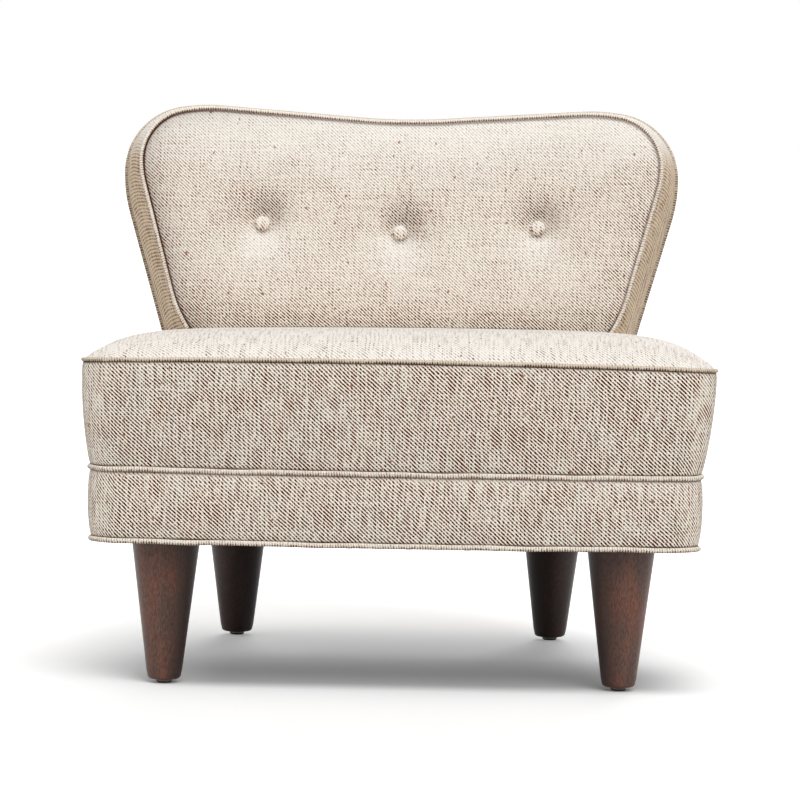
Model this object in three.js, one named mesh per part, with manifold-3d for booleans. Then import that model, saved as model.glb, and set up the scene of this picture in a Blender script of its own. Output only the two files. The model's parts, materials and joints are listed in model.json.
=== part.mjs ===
// An armless slipper chair: a boxed seat and a wrapped, buttoned back over a hardwood frame, on tapered legs.
// Lengths are millimetres. x runs to the sitter's left, y to the back of the chair and z up, with the floor
// at z = 0 and the middle of the seat's front edge at y = 0 until the whole chair is centred at the end.

import * as THREE from 'three'
import { mergeVertices } from 'three/addons/utils/BufferGeometryUtils.js'
import Module from 'manifold-3d'

const wasm = await Module()
wasm.setup()

const degrees = Math.PI / 180

// Seat: its plan is a taper with a bowed front and back and round corners
const seat_half_width = 385
const seat_depth = 640
const front_bow_radius = 4500
const rear_bow_radius = 1500
const front_corner_radius = 48
const rear_corner_radius = 24
const rear_seam_angle = 60 * degrees
const side_taper = 6.7 * degrees

// Seat: heights of its three welts, and how far the covers draw in at the lower two
const bottom_welt_height = 181
const lower_welt_height = 268.5
const top_welt_height = 403
const top_welt_corner_drop = 5
const seat_rake = 3 * degrees
const lower_draw_in = 12
const bottom_draw_in = 14
const apron_bulge = 2.5

// Seat: the crown that stands over the top welt
const seat_crown = 44
const seat_crown_side_run = 27
const seat_crown_front_run = 40
const seat_crown_rear_run = 45
const corner_settle_run = 20

// Back: the surface that the front welt lies on and the surface of the outside panel, both wrapped round x
const back_foot_depth = 140
const back_front_place = seat_depth - back_foot_depth
const back_front_height = 420
const back_recline = 14 * degrees
const back_wrap_radius = 1370
const back_panel_recline = 7 * degrees

// Back: the outline of its rear edge and, further in, of its front welt
const back_set_in = 16
const back_half_width = seat_half_width - back_set_in
const back_widest_height = 618
const back_shoulder_radius = 200
const back_corner_radius = 85
const back_side_lean = 16.1 * degrees
const back_side_join = 32.5
const back_face_draw_in = 26
const front_half_width = back_half_width - back_face_draw_in
const front_widest_height = 637
const front_shoulder_radius = 120
const front_corner_top_radius = 65
const front_side_lean = 15.6 * degrees
const tuck_turn = 37 * degrees
const tuck_radius = 170
const tuck_height = 465
const crest_radius = 230
const crest_turn = 80 * degrees
const dip_slope = 4 * degrees
const dip_radius = 860

// Back: the cushion's crown and its tufts
const back_crown = 24
const back_crown_run = 40
const cushion_head_room = 23
const tuft_set_in = 161
const tuft_spread = front_half_width - tuft_set_in
const tuft_side_height = 553.5
const tuft_middle_height = 544
const tuft_depth = 15
const tuft_flat = 15.5
const tuft_fall = 24
const button_radius = 9.8
const button_height = 7
const button_edge_round = 1.4
const button_dome_shares = [[0.93, 0.5], [0.66, 0.86], [0.3, 0.98]]
const twine_radius = 1.2

// Covers and welts
const cover_thickness = 2
const welt_radius = 3.4
const soft_gap = 0.5
const fit_gap = 0.3
const seat_gap = 0.7
const seam_gap = 2
const well_gap = 2.8
const panel_thickness = 1.5
const overrun = 300

// Hardwood frame
const rail_thickness = 26
const rail_foot_drop = 2
const rail_foot = bottom_welt_height - rail_foot_drop
const rail_head_drop = 6.5
const rail_height = lower_welt_height - rail_head_drop - rail_foot
const block_front_reach = 190
const block_side_reach = 120
const block_rear_reach = 145
const frame_inset = 21
const post_depth = 42
const post_width = 60
const top_rail_drop = 12
const top_rail_foot = back_widest_height - top_rail_drop
const liner_rail_drop = 31
const liner_rail_foot = top_welt_height - liner_rail_drop
const liner_rail_height = 40

// Legs: round and tapered, the rear pair raked back
const leg_top_radius = 42
const leg_foot_radius = 20.7
const leg_edge_round = 5
const front_leg_set_in = 105
const front_leg_spread = seat_half_width - front_leg_set_in
const front_leg_place = 90
const rear_leg_set_in = 175
const rear_leg_spread = seat_half_width - rear_leg_set_in
const rear_leg_setback = 94
const rear_leg_place = seat_depth - rear_leg_setback
const rear_leg_rake = 10 * degrees
const glide_radius = 10
const glide_height = 4.6
const glide_edge_round = 1.1
const glide_nail_radius = 1.3
const glide_nail_length = 14
const bolt_radius = 4
const bolt_point = 8
const bolt_edge = 2
const bolt_depth = 45
const bolt_head_room = 21
const bolt_rise = rail_height - bolt_head_room
const bolt_gap = 0.5

// Springs and their clips
const spring_count = 4
const spring_side_room = 197.5
const spring_pitch = (2 * (seat_half_width - spring_side_room)) / (spring_count - 1)
const spring_wire_radius = 2
const spring_half_loop = 35
const spring_swing = 23
const spring_bar_share = 0.7
const spring_setback = 26
const spring_arch = 16
const clip_thickness = 1
const clip_width = 15
const clip_tail = 13

// How finely round shapes are stepped
const steps = {
  front_bow: 8, front_corner: 4, side: 6, rear_corner: 2, rear_bow: 8,
  tuck: 3, back_side: 4, shoulder: 2, back_corner: 6, crest: 2, top: 2, dip: 2, slice: 8, welt: 6,
  leg: 20, turned: 12, twine: 8, hole: 8, clip_bend: 3, wire: 4,
}
const grid_spacing = 42
const tuft_line_share = 0.7

const group = new THREE.Group()

const finishes = {
  fabric: new THREE.MeshStandardMaterial({ color: '#cfc3b3', roughness: 0.92, metalness: 0 }),
  fabric_shade: new THREE.MeshStandardMaterial({ color: '#b9ab99', roughness: 0.92, metalness: 0 }),
  welt: new THREE.MeshStandardMaterial({ color: '#a89885', roughness: 0.9, metalness: 0 }),
  leg_wood: new THREE.MeshStandardMaterial({ color: '#3d2a22', roughness: 0.45, metalness: 0 }),
  frame_wood: new THREE.MeshStandardMaterial({ color: '#c9a777', roughness: 0.75, metalness: 0 }),
  foam: new THREE.MeshStandardMaterial({ color: '#efe6c8', roughness: 0.95, metalness: 0 }),
  jute: new THREE.MeshStandardMaterial({ color: '#9b7d52', roughness: 0.95, metalness: 0 }),
  dust_cloth: new THREE.MeshStandardMaterial({ color: '#1c1b1b', roughness: 0.95, metalness: 0 }),
  spring_steel: new THREE.MeshStandardMaterial({ color: '#6f7276', roughness: 0.4, metalness: 0.9 }),
  zinc: new THREE.MeshStandardMaterial({ color: '#b6b4ac', roughness: 0.35, metalness: 0.9 }),
}

function addPiece(name, geometry, finish) {
  const piece = new THREE.Mesh(geometry, finish)
  piece.name = name
  group.add(piece)
  return piece
}

// Bodies from rows of points

function signedVolume(points, faces) {
  let volume = 0
  for (const [a, b, c] of faces) {
    volume += points[a].dot(new THREE.Vector3().crossVectors(points[b], points[c])) / 6
  }
  return volume
}

function bodyGeometry(points, faces) {
  const inside_out = signedVolume(points, faces) < 0
  const geometry = new THREE.BufferGeometry().setFromPoints(points)
  geometry.setIndex(faces.flatMap(([a, b, c]) => (inside_out ? [a, c, b] : [a, b, c])))
  geometry.computeVertexNormals()
  return geometry
}

// Faces that close the first or last row of a body whose rows run along a strip: point k pairs with the point
// that comes as far before the row's end.
function ladderFaces(first, count) {
  const faces = []
  for (let k = 0; k < count / 2 - 1; k++) {
    const mate = count - 1 - k
    faces.push([first + k, first + mate, first + k + 1])
    if (k + 1 < mate - 1) {
      faces.push([first + k + 1, first + mate, first + mate - 1])
    }
  }
  return faces
}

// A closed body through rows of points, each row a loop. The rows close on themselves, end in two poles, or
// end in flat caps. A sheet folds back on itself past a row or a column, and there the quads are split the
// other way, so that both of its faces have the same creases.
function loft(rows, { ring = false, poles = null, fold_row = Infinity, fold_column = Infinity } = {}) {
  const count = rows[0].length
  const points = rows.flat()
  const faces = []
  const spans = ring ? rows.length : rows.length - 1
  for (let i = 0; i < spans; i++) {
    const here = i * count
    const next = ((i + 1) % rows.length) * count
    for (let j = 0; j < count; j++) {
      const side = (j + 1) % count
      if ((i >= fold_row) !== (j >= fold_column)) {
        faces.push([here + j, next + j, here + side])
        faces.push([here + side, next + j, next + side])
      } else {
        faces.push([here + j, next + j, next + side])
        faces.push([here + j, next + side, here + side])
      }
    }
  }
  const last = (rows.length - 1) * count
  if (poles) {
    points.push(poles[0], poles[1])
    for (let j = 0; j < count; j++) {
      const side = (j + 1) % count
      faces.push([points.length - 2, j, side])
      faces.push([points.length - 1, last + side, last + j])
    }
  } else if (!ring) {
    faces.push(...ladderFaces(0, count).map(([a, b, c]) => [a, c, b]))
    faces.push(...ladderFaces(last, count))
  }
  return bodyGeometry(points, faces)
}

// A body between two loops of equal count, with caps cut to the loops' outline in x and z.
function bridge(front, rear) {
  const count = front.length
  const points = [...front, ...rear]
  const outline = front.map((p) => new THREE.Vector2(p.x, p.z))
  const faces = []
  for (const [a, b, c] of THREE.ShapeUtils.triangulateShape(outline, [])) {
    faces.push([a, b, c])
    faces.push([a + count, c + count, b + count])
  }
  const follows = faces.some((face) => face.some((a, k) => a === 0 && face[(k + 1) % 3] === 1))
  for (let j = 0; j < count; j++) {
    const side = (j + 1) % count
    const walls = [[side, j, j + count], [side, j + count, side + count]]
    faces.push(...walls.map(([a, b, c]) => (follows ? [a, b, c] : [a, c, b])))
  }
  return bodyGeometry(points, faces)
}

// A round wire or welt along a path of points, closed or with flat ends. The normals lie across the path.
function tube(path, normals, radius, sides, closed = false) {
  const rows = path.map((p, i) => {
    const before = path[closed ? (i + path.length - 1) % path.length : Math.max(i - 1, 0)]
    const after = path[closed ? (i + 1) % path.length : Math.min(i + 1, path.length - 1)]
    const tangent = new THREE.Vector3().subVectors(after, before).normalize()
    const across = normals[i].clone().addScaledVector(tangent, -normals[i].dot(tangent)).normalize()
    const up = new THREE.Vector3().crossVectors(tangent, across)
    return Array.from({ length: sides }, (_, k) => {
      const angle = ((k + 0.5) / sides) * 2 * Math.PI
      return p.clone()
        .addScaledVector(across, radius * Math.cos(angle))
        .addScaledVector(up, radius * Math.sin(angle))
    })
  })
  return loft(rows, { ring: closed })
}

// Cuts and joins

function solidOf(geometry) {
  const bare = geometry.clone()
  bare.deleteAttribute('normal')
  bare.deleteAttribute('uv')
  const merged = mergeVertices(bare)
  return new wasm.Manifold(new wasm.Mesh({
    numProp: 3,
    vertProperties: new Float32Array(merged.attributes.position.array),
    triVerts: new Uint32Array(merged.index.array),
  }))
}

function geometryOf(solid) {
  const mesh = solid.getMesh()
  const geometry = new THREE.BufferGeometry()
  geometry.setAttribute('position', new THREE.BufferAttribute(new Float32Array(mesh.vertProperties), 3))
  geometry.setIndex(new THREE.BufferAttribute(new Uint32Array(mesh.triVerts), 1))
  geometry.computeVertexNormals()
  return geometry
}

function common(geometry, limit) {
  return geometryOf(solidOf(geometry).intersect(solidOf(limit)))
}

function cut(geometry, cutters) {
  let solid = solidOf(geometry)
  for (const cutter of cutters) {
    solid = solid.subtract(solidOf(cutter))
  }
  return geometryOf(solid)
}

// The seat's plan

const cos_taper = Math.cos(side_taper)
const sin_taper = Math.sin(side_taper)

function frontCornerCentre() {
  const x = seat_half_width - front_corner_radius
  const reach = front_bow_radius - front_corner_radius
  return { x, y: front_bow_radius - Math.sqrt(reach * reach - x * x) }
}

const front_corner = frontCornerCentre()
const side_line = cos_taper * front_corner.x + sin_taper * front_corner.y + front_corner_radius

// The rear corner's centre lies on the side line moved in by its radius, and on the rear bow moved in alike.
function rearCornerCentre() {
  const bow_centre = seat_depth - rear_bow_radius
  const line = side_line - rear_corner_radius
  const reach = rear_bow_radius - rear_corner_radius
  const along = line - sin_taper * bow_centre
  const run = cos_taper * Math.sqrt(reach * reach - along * along)
  const y = bow_centre + sin_taper * along + run
  return { x: (line - sin_taper * y) / cos_taper, y }
}

const rear_corner = rearCornerCentre()

// Each place on the seat's outline has a point and the direction straight out from it.
function arcPlaces(centre, radius, from, to, count) {
  return Array.from({ length: count + 1 }, (_, i) => {
    const angle = from + ((to - from) * i) / count
    const nx = Math.cos(angle)
    const ny = Math.sin(angle)
    return { x: centre.x + radius * nx, y: centre.y + radius * ny, nx, ny }
  })
}

function linePlaces(start, end, count) {
  return Array.from({ length: count - 1 }, (_, i) => {
    const share = (i + 1) / count
    return {
      x: start.x + (end.x - start.x) * share,
      y: start.y + (end.y - start.y) * share,
      nx: start.nx,
      ny: start.ny,
    }
  })
}

const front_angle = Math.atan2(front_corner.y - front_bow_radius, front_corner.x)
const rear_angle = Math.atan2(rear_corner.y - (seat_depth - rear_bow_radius), rear_corner.x)
const front_bow_centre = { x: 0, y: front_bow_radius }
const rear_bow_centre = { x: 0, y: seat_depth - rear_bow_radius }

function halfPlan() {
  const corner = arcPlaces(front_corner, front_corner_radius, front_angle, side_taper, steps.front_corner)
  const rear = arcPlaces(rear_corner, rear_corner_radius, side_taper, rear_angle, steps.rear_corner)
  return {
    front: arcPlaces(front_bow_centre, front_bow_radius, -Math.PI / 2, front_angle, steps.front_bow / 2),
    corner,
    side: linePlaces(corner[corner.length - 1], rear[0], steps.side),
    rear_corner: rear,
    rear: arcPlaces(rear_bow_centre, rear_bow_radius, rear_angle, Math.PI / 2, steps.rear_bow / 2),
  }
}

const mirrored = (place) => ({ ...place, x: -place.x, nx: -place.nx })
const half_plan = halfPlan()

// From the middle of the front edge to the seam at the right rear corner.
const right_side = [
  ...half_plan.front, ...half_plan.corner.slice(1), ...half_plan.side, half_plan.rear_corner[0],
]
const right_half = [...right_side, ...half_plan.rear_corner.slice(1), ...half_plan.rear.slice(1)]
const seat_plan = [...right_half, ...right_half.slice(1, -1).reverse().map(mirrored)]

// The covers of the front and sides end at the rear corner, a clearance short of the outside panel's seam.
function cornerPlace(angle) {
  return arcPlaces(rear_corner, rear_corner_radius, angle, angle, 1)[0]
}

function seamEndAngle(inset, clearance) {
  return rear_seam_angle - clearance / (rear_corner_radius - inset)
}

// Runs a strip from seam to seam: its end columns turn round the corner, each row as far as its inset allows.
function bandColumns(column, clearance) {
  const half_turn = cornerPlace((side_taper + seamEndAngle(0, clearance)) / 2)
  const right = [
    ...right_side.map((place) => column(() => place)),
    column(() => half_turn),
    column((inset) => cornerPlace(seamEndAngle(inset, clearance))),
  ]
  const left = right.slice(1).reverse().map((row) => row.map((p) => new THREE.Vector3(-p.x, p.y, p.z)))
  return [...left, ...right]
}

const planPoint = (place, inset, z) => (
  new THREE.Vector3(place.x - place.nx * inset, place.y - place.ny * inset, z)
)
const sideAt = (y) => (side_line - sin_taper * y) / cos_taper

function topWeltZ(x, y) {
  return top_welt_height - y * Math.tan(seat_rake) - top_welt_corner_drop * (x / seat_half_width) ** 2
}

// Seat covers and welts

const band_foot = lower_welt_height + welt_radius + soft_gap
const band_row_shares = [0, 0.35, 0.6, 0.8, 1]

function seatBoxing() {
  const column = (placeAt) => {
    const face = (inset_more) => band_row_shares.map((share) => {
      const inset = lower_draw_in * share * share
      const place = placeAt(inset)
      const head = topWeltZ(place.x, place.y) - welt_radius - soft_gap
      return planPoint(place, inset + inset_more, head + (band_foot - head) * share)
    })
    return [...face(0), ...face(cover_thickness).reverse()]
  }
  return loft(bandColumns(column, welt_radius + seam_gap))
}

function seatApron() {
  const head = lower_welt_height - welt_radius - soft_gap
  const foot = bottom_welt_height + welt_radius + soft_gap
  const middle = (head + foot) / 2
  const mean = (lower_draw_in + bottom_draw_in) / 2
  return loft(seat_plan.map((place) => [
    planPoint(place, lower_draw_in, head),
    planPoint(place, mean - apron_bulge, middle),
    planPoint(place, bottom_draw_in, foot),
    planPoint(place, bottom_draw_in + cover_thickness, foot),
    planPoint(place, mean - apron_bulge + cover_thickness, middle),
    planPoint(place, lower_draw_in + cover_thickness, head),
  ]), { ring: true })
}

const outward = (place) => new THREE.Vector3(place.nx, place.ny, 0)

function ringWelt(inset, z) {
  const path = seat_plan.map((place) => planPoint(place, inset, z))
  return tube(path, seat_plan.map(outward), welt_radius, steps.welt, true)
}

function seatTopWelt() {
  const column = (placeAt) => {
    const place = placeAt(0)
    return [planPoint(place, 0, topWeltZ(place.x, place.y)), outward(place)]
  }
  const columns = bandColumns(column, 2 * welt_radius + seam_gap)
  return tube(columns.map(([p]) => p), columns.map(([, n]) => n), welt_radius, steps.welt)
}

// The seat's crown: rings drawn in evenly from the outline to the middle of the seat

const seat_middle = { x: 0, y: seat_depth / 2 }
const cover_inset = welt_radius + soft_gap
const cover_ring_shares = [0, 0.03, 0.07, 0.12, 0.19, 0.3, 0.5, 0.75]
const deck_ring_shares = [0, 0.15, 0.35, 0.6, 0.8]
const foam_wall_shares = [0.35, 0.8]

// The crown rises in from each edge: full in the middle, and less where two edges are near.
function crownRise(x, y) {
  const shares_of_run = [
    (side_line - cos_taper * Math.abs(x) - sin_taper * y) / seat_crown_side_run,
    (front_bow_radius - Math.hypot(x, y - front_bow_centre.y)) / seat_crown_front_run,
    (rear_bow_radius - Math.hypot(x, y - rear_bow_centre.y)) / seat_crown_rear_run,
  ]
  return shares_of_run.reduce((rise, share) => rise * (1 - Math.exp(-Math.max(share, 0))), seat_crown)
}

// At a round corner the straight edges lie outside the outline, so what they leave there settles to nothing.
function crownRings(inset, shares, rise) {
  return shares.map((share) => seat_plan.map((place) => {
    const edge = planPoint(place, inset, 0)
    const x = edge.x * (1 - share)
    const y = seat_middle.y + (edge.y - seat_middle.y) * (1 - share)
    const support = (edge.x - seat_middle.x) * place.nx + (edge.y - seat_middle.y) * place.ny
    const left_over = crownRise(place.x, place.y) * Math.exp(-(inset + share * support) / corner_settle_run)
    return new THREE.Vector3(x, y, topWeltZ(x, y) + crownRise(x, y) - left_over + rise)
  }))
}

const seat_middle_z = topWeltZ(seat_middle.x, seat_middle.y) + crownRise(seat_middle.x, seat_middle.y)

function middlePoint(z) {
  return new THREE.Vector3(seat_middle.x, seat_middle.y, z)
}

// The posts of the back pass down through a well in the seat's cover and padding.
function backWell() {
  const low = rail_foot
  const high = top_welt_height + 2 * seat_crown
  const reach = postOuterX(topWeltZ(0, seat_depth) + seat_crown) + 2 * seat_gap
  const count = steps.rear_bow
  const rows = Array.from({ length: count + 1 }, (_, i) => {
    const x = -reach + (2 * reach * i) / count
    const near = backRearY(x, low) - cover_thickness - post_depth - well_gap
    const far = seat_depth + overrun
    return [
      new THREE.Vector3(x, near, low),
      new THREE.Vector3(x, near, high),
      new THREE.Vector3(x, far, high),
      new THREE.Vector3(x, far, low),
    ]
  })
  return loft(rows)
}

function seatTopCover() {
  const top = crownRings(cover_inset, cover_ring_shares, 0)
  const under = crownRings(cover_inset, cover_ring_shares, -cover_thickness)
  const sheet = loft([...top.reverse(), ...under], {
    poles: [middlePoint(seat_middle_z), middlePoint(seat_middle_z - cover_thickness)],
    fold_row: top.length,
  })
  return cut(sheet, [backWell()])
}

// What stands on the seat is cut to its crown, a little clear of it.
function seatClearance() {
  const top = crownRings(0, cover_ring_shares, seat_gap)
  const foot = top[0].map((p) => new THREE.Vector3(p.x, p.y, rail_foot))
  return loft([...top.reverse(), foot], {
    poles: [middlePoint(seat_middle_z + seat_gap), middlePoint(rail_foot)],
    fold_row: top.length,
  })
}

// Deck, springs and seat foam

const rail_top = rail_foot + rail_height
const rail_inset = bottom_draw_in + welt_radius + soft_gap
const spring_seat = rail_top + fit_gap + clip_thickness + fit_gap + spring_wire_radius
const deck_foot = spring_seat + spring_wire_radius + fit_gap + clip_thickness + fit_gap
const deck_start = rail_inset
const deck_end = seat_depth - rail_inset

function deckArch(x, y) {
  const along = Math.sin((Math.PI * (y - deck_start)) / (deck_end - deck_start))
  const across = 1 - (x / seat_half_width) ** 4
  return spring_arch * Math.max(along, 0) * across
}

function deckRings(rise) {
  return deck_ring_shares.map((share) => seat_plan.map((place) => {
    const edge = planPoint(place, rail_inset, 0)
    const x = edge.x * (1 - share)
    const y = seat_middle.y + (edge.y - seat_middle.y) * (1 - share)
    return new THREE.Vector3(x, y, deck_foot + deckArch(x, y) + rise)
  }))
}

const deck_middle = deck_foot + deckArch(seat_middle.x, seat_middle.y)

function seatDeck() {
  const top = deckRings(panel_thickness)
  const sheet = loft([...top.reverse(), ...deckRings(0)], {
    poles: [middlePoint(deck_middle + panel_thickness), middlePoint(deck_middle)],
    fold_row: top.length,
  })
  return cut(sheet, [backWell()])
}

function seatFoam() {
  const inner = cover_thickness + soft_gap
  const top = crownRings(cover_inset, cover_ring_shares, -cover_thickness - soft_gap)
  const wall = foam_wall_shares.map((share) => seat_plan.map((place) => {
    const head = topWeltZ(place.x, place.y) - welt_radius
    return planPoint(place, bottom_draw_in * share + inner, head + (band_foot - head) * share)
  }))
  const foot_rise = panel_thickness + soft_gap
  const under = deckRings(foot_rise)
  const rows = [...top.reverse(), ...wall, ...under]
  const body = loft(rows, {
    poles: [middlePoint(seat_middle_z - cover_thickness - soft_gap), middlePoint(deck_middle + foot_rise)],
    fold_row: top.length,
  })
  return cut(body, [backWell()])
}

// A sinuous spring: straight bars across, joined by bends, arched over the rails.
function seatSpring(x) {
  const start = deck_start + spring_setback
  const end = deck_end - spring_setback - x * x / (2 * rear_bow_radius)
  const loops = Math.round((end - start) / spring_half_loop)
  const step = (end - start) / loops
  const path = []
  for (let k = 0; k <= loops; k++) {
    const side = k % 2 ? -1 : 1
    const y = start + k * step
    path.push([-side * spring_swing * spring_bar_share, y], [side * spring_swing * spring_bar_share, y])
    if (k < loops) {
      path.push([side * spring_swing, y + step / 2])
    }
  }
  const arch_start = deckArch(x, start)
  const arch_end = deckArch(x, end)
  const points = path.map(([dx, y]) => {
    const floor = arch_start + ((arch_end - arch_start) * (y - start)) / (end - start)
    return new THREE.Vector3(x + dx, y, spring_seat + Math.max(deckArch(x + dx, y) - floor, 0))
  })
  const up = points.map(() => new THREE.Vector3(0, 0, 1))
  return { geometry: tube(points, up, spring_wire_radius, steps.wire), start, end }
}

// A clip folded round the spring's end bar and nailed flat to the rail.
function springClip(x, y, turn) {
  const inner = spring_wire_radius + fit_gap
  const outer = inner + clip_thickness
  const low = rail_top + fit_gap - spring_seat
  const shape = new THREE.Shape()
  shape.moveTo(clip_tail, low)
  shape.lineTo(0, low)
  shape.absarc(0, 0, -low, -Math.PI / 2, -1.5 * Math.PI, true)
  shape.lineTo(inner + clip_thickness, outer)
  shape.lineTo(inner + clip_thickness, inner)
  shape.lineTo(0, inner)
  shape.absarc(0, 0, inner, Math.PI / 2, 1.5 * Math.PI, false)
  shape.lineTo(clip_tail, -inner)
  const clip = new THREE.ExtrudeGeometry(shape, {
    depth: clip_width, bevelEnabled: false, curveSegments: steps.clip_bend,
  })
  clip.translate(0, 0, -clip_width / 2)
  clip.rotateY(Math.PI / 2)
  clip.rotateX(Math.PI / 2)
  clip.rotateZ(turn)
  clip.translate(x, y, spring_seat)
  return clip
}

// Hardwood seat frame: rails that follow the outline, between corner blocks

function bowPlace(centre, radius, x) {
  const front = centre.y > 0
  const angle = front ? -Math.acos(x / radius) : Math.acos(x / radius)
  return { x, y: centre.y + radius * Math.sin(angle), nx: Math.cos(angle), ny: Math.sin(angle) }
}

function sidePlace(y) {
  return { x: sideAt(y), y, nx: cos_taper, ny: sin_taper }
}

const block_front_x = seat_half_width - block_front_reach
const block_side_y = front_corner.y + block_side_reach
const block_rear_x = rear_corner.x + rear_corner_radius - block_rear_reach
const block_rear_side_y = rear_corner.y - block_side_reach

// A rail between two places on the outline, a gap short of each.
function rail(places) {
  const first = places[0]
  const last = places[places.length - 1]
  const moved = (place, gap) => ({ ...place, x: place.x - place.ny * gap, y: place.y + place.nx * gap })
  const trimmed = [moved(first, fit_gap), ...places.slice(1, -1), moved(last, -fit_gap)]
  return loft(trimmed.map((place) => [
    planPoint(place, rail_inset, rail_foot),
    planPoint(place, rail_inset, rail_top),
    planPoint(place, rail_inset + rail_thickness, rail_top),
    planPoint(place, rail_inset + rail_thickness, rail_foot),
  ]))
}

function frontRail() {
  const count = steps.front_bow
  return rail(Array.from({ length: count + 1 }, (_, i) => (
    bowPlace(front_bow_centre, front_bow_radius, -block_front_x + (2 * block_front_x * i) / count)
  )))
}

function backRail() {
  const count = steps.rear_bow
  return rail(Array.from({ length: count + 1 }, (_, i) => (
    bowPlace(rear_bow_centre, rear_bow_radius, block_rear_x - (2 * block_rear_x * i) / count)
  )))
}

function sideRail() {
  return rail([sidePlace(block_side_y), sidePlace(block_rear_side_y)])
}

// A corner block fills the corner between two rails and takes the leg's bolt.
function cornerBlock(places, bolt_place, rake) {
  const outer = places.map((place) => planPoint(place, rail_inset, 0))
  const inner = [places[places.length - 1], places[0]].map((place) => (
    planPoint(place, rail_inset + rail_thickness, 0)
  ))
  const shape = new THREE.Shape([...outer, ...inner].map((p) => new THREE.Vector2(p.x, p.y)))
  const block = new THREE.ExtrudeGeometry(shape, { depth: rail_height, bevelEnabled: false })
  block.translate(0, 0, rail_foot)
  const radius = bolt_radius + bolt_gap
  const hole = new THREE.CylinderGeometry(radius, radius, overrun, steps.turned)
  hole.rotateX(Math.PI / 2)
  hole.translate(bolt_place.x, bolt_place.y, rail_foot)
  lean(hole, rake, leg_head)
  return cut(block, [hole])
}

function frontBlockPlaces() {
  return [
    bowPlace(front_bow_centre, front_bow_radius, block_front_x),
    ...half_plan.corner,
    sidePlace(block_side_y),
  ]
}

function rearBlockPlaces() {
  return [
    sidePlace(block_rear_side_y),
    ...half_plan.rear_corner,
    bowPlace(rear_bow_centre, rear_bow_radius, block_rear_x),
  ]
}

// Legs, bolts and glides, drawn upright and then leaned: each level keeps its round shape and slides back

const dust_cover_foot = rail_foot - panel_thickness - fit_gap
const leg_head = dust_cover_foot - fit_gap
const leg_foot = glide_height + fit_gap

function lean(geometry, rake, level) {
  const place = geometry.attributes.position
  for (let i = 0; i < place.count; i++) {
    place.setY(i, place.getY(i) + (level - place.getZ(i)) * Math.tan(rake))
  }
  geometry.computeVertexNormals()
  return geometry
}

function turned(profile, rake, count) {
  const geometry = new THREE.LatheGeometry(profile.map(([r, z]) => new THREE.Vector2(r, z)), count)
  geometry.rotateX(Math.PI / 2)
  return lean(geometry, rake, leg_head)
}

function leg(rake) {
  const nail = glide_nail_radius + fit_gap
  const bolt = bolt_radius + bolt_gap
  const edge_middle = leg_edge_round * (1 - Math.SQRT1_2)
  const taper = (leg_top_radius - leg_foot_radius) / (leg_head - leg_foot)
  return turned([
    [0, leg_foot + glide_nail_length],
    [nail, leg_foot + glide_nail_length],
    [nail, leg_foot],
    [leg_foot_radius - leg_edge_round, leg_foot],
    [leg_foot_radius - edge_middle, leg_foot + edge_middle],
    [leg_foot_radius + taper * leg_edge_round, leg_foot + leg_edge_round],
    [leg_top_radius, leg_head],
    [bolt, leg_head],
    [bolt, leg_head - bolt_depth - bolt_gap],
    [0, leg_head - bolt_depth - bolt_gap],
  ], rake, steps.leg)
}

function hangerBolt(rake) {
  return turned([
    [0, leg_head - bolt_depth],
    [bolt_radius - bolt_edge, leg_head - bolt_depth],
    [bolt_radius, leg_head - bolt_depth + bolt_point],
    [bolt_radius, leg_head + bolt_rise - bolt_edge],
    [bolt_radius - bolt_edge, leg_head + bolt_rise],
    [0, leg_head + bolt_rise],
  ], rake, steps.turned)
}

function glide(rake) {
  return turned([
    [0, 0],
    [glide_radius - glide_edge_round, 0],
    [glide_radius, glide_edge_round],
    [glide_radius, glide_height - glide_edge_round],
    [glide_radius - glide_edge_round, glide_height],
    [glide_nail_radius, glide_height],
    [glide_nail_radius, glide_height + glide_nail_length - 2 * fit_gap],
    [0, glide_height + glide_nail_length],
  ], rake, steps.turned)
}

const legs = [
  { name: 'front_left', x: front_leg_spread, y: front_leg_place, rake: 0 },
  { name: 'front_right', x: -front_leg_spread, y: front_leg_place, rake: 0 },
  { name: 'rear_left', x: rear_leg_spread, y: rear_leg_place, rake: rear_leg_rake },
  { name: 'rear_right', x: -rear_leg_spread, y: rear_leg_place, rake: rear_leg_rake },
]

function dustCover() {
  const shape = new THREE.Shape(seat_plan.map((place) => {
    const p = planPoint(place, rail_inset, 0)
    return new THREE.Vector2(p.x, p.y)
  }))
  for (const { x, y } of legs) {
    const hole = new THREE.Path()
    hole.absarc(x, y, bolt_radius + 2 * bolt_gap, 0, 2 * Math.PI, true)
    shape.holes.push(hole)
  }
  const sheet = new THREE.ExtrudeGeometry(shape, {
    depth: panel_thickness, bevelEnabled: false, curveSegments: steps.hole,
  })
  sheet.translate(0, 0, dust_cover_foot)
  return sheet
}

// The back's surfaces

function backFrontY(x, z) {
  return back_front_place + (z - back_front_height) * Math.tan(back_recline) - x * x / (2 * back_wrap_radius)
}

function backRearY(x, z) {
  const foot = seat_depth - lower_draw_in
  return foot + (z - lower_welt_height) * Math.tan(back_panel_recline) - x * x / (2 * rear_bow_radius)
}

// The back's outlines in x and z, as places with a direction straight out, from the right foot over the top.

function outlineArc(centre, radius, from, to, count) {
  return Array.from({ length: count + 1 }, (_, i) => {
    const angle = from + ((to - from) * i) / count
    const nx = Math.cos(angle)
    const nz = Math.sin(angle)
    return { x: centre.x + radius * nx, z: centre.z + radius * nz, nx, nz }
  })
}

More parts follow.
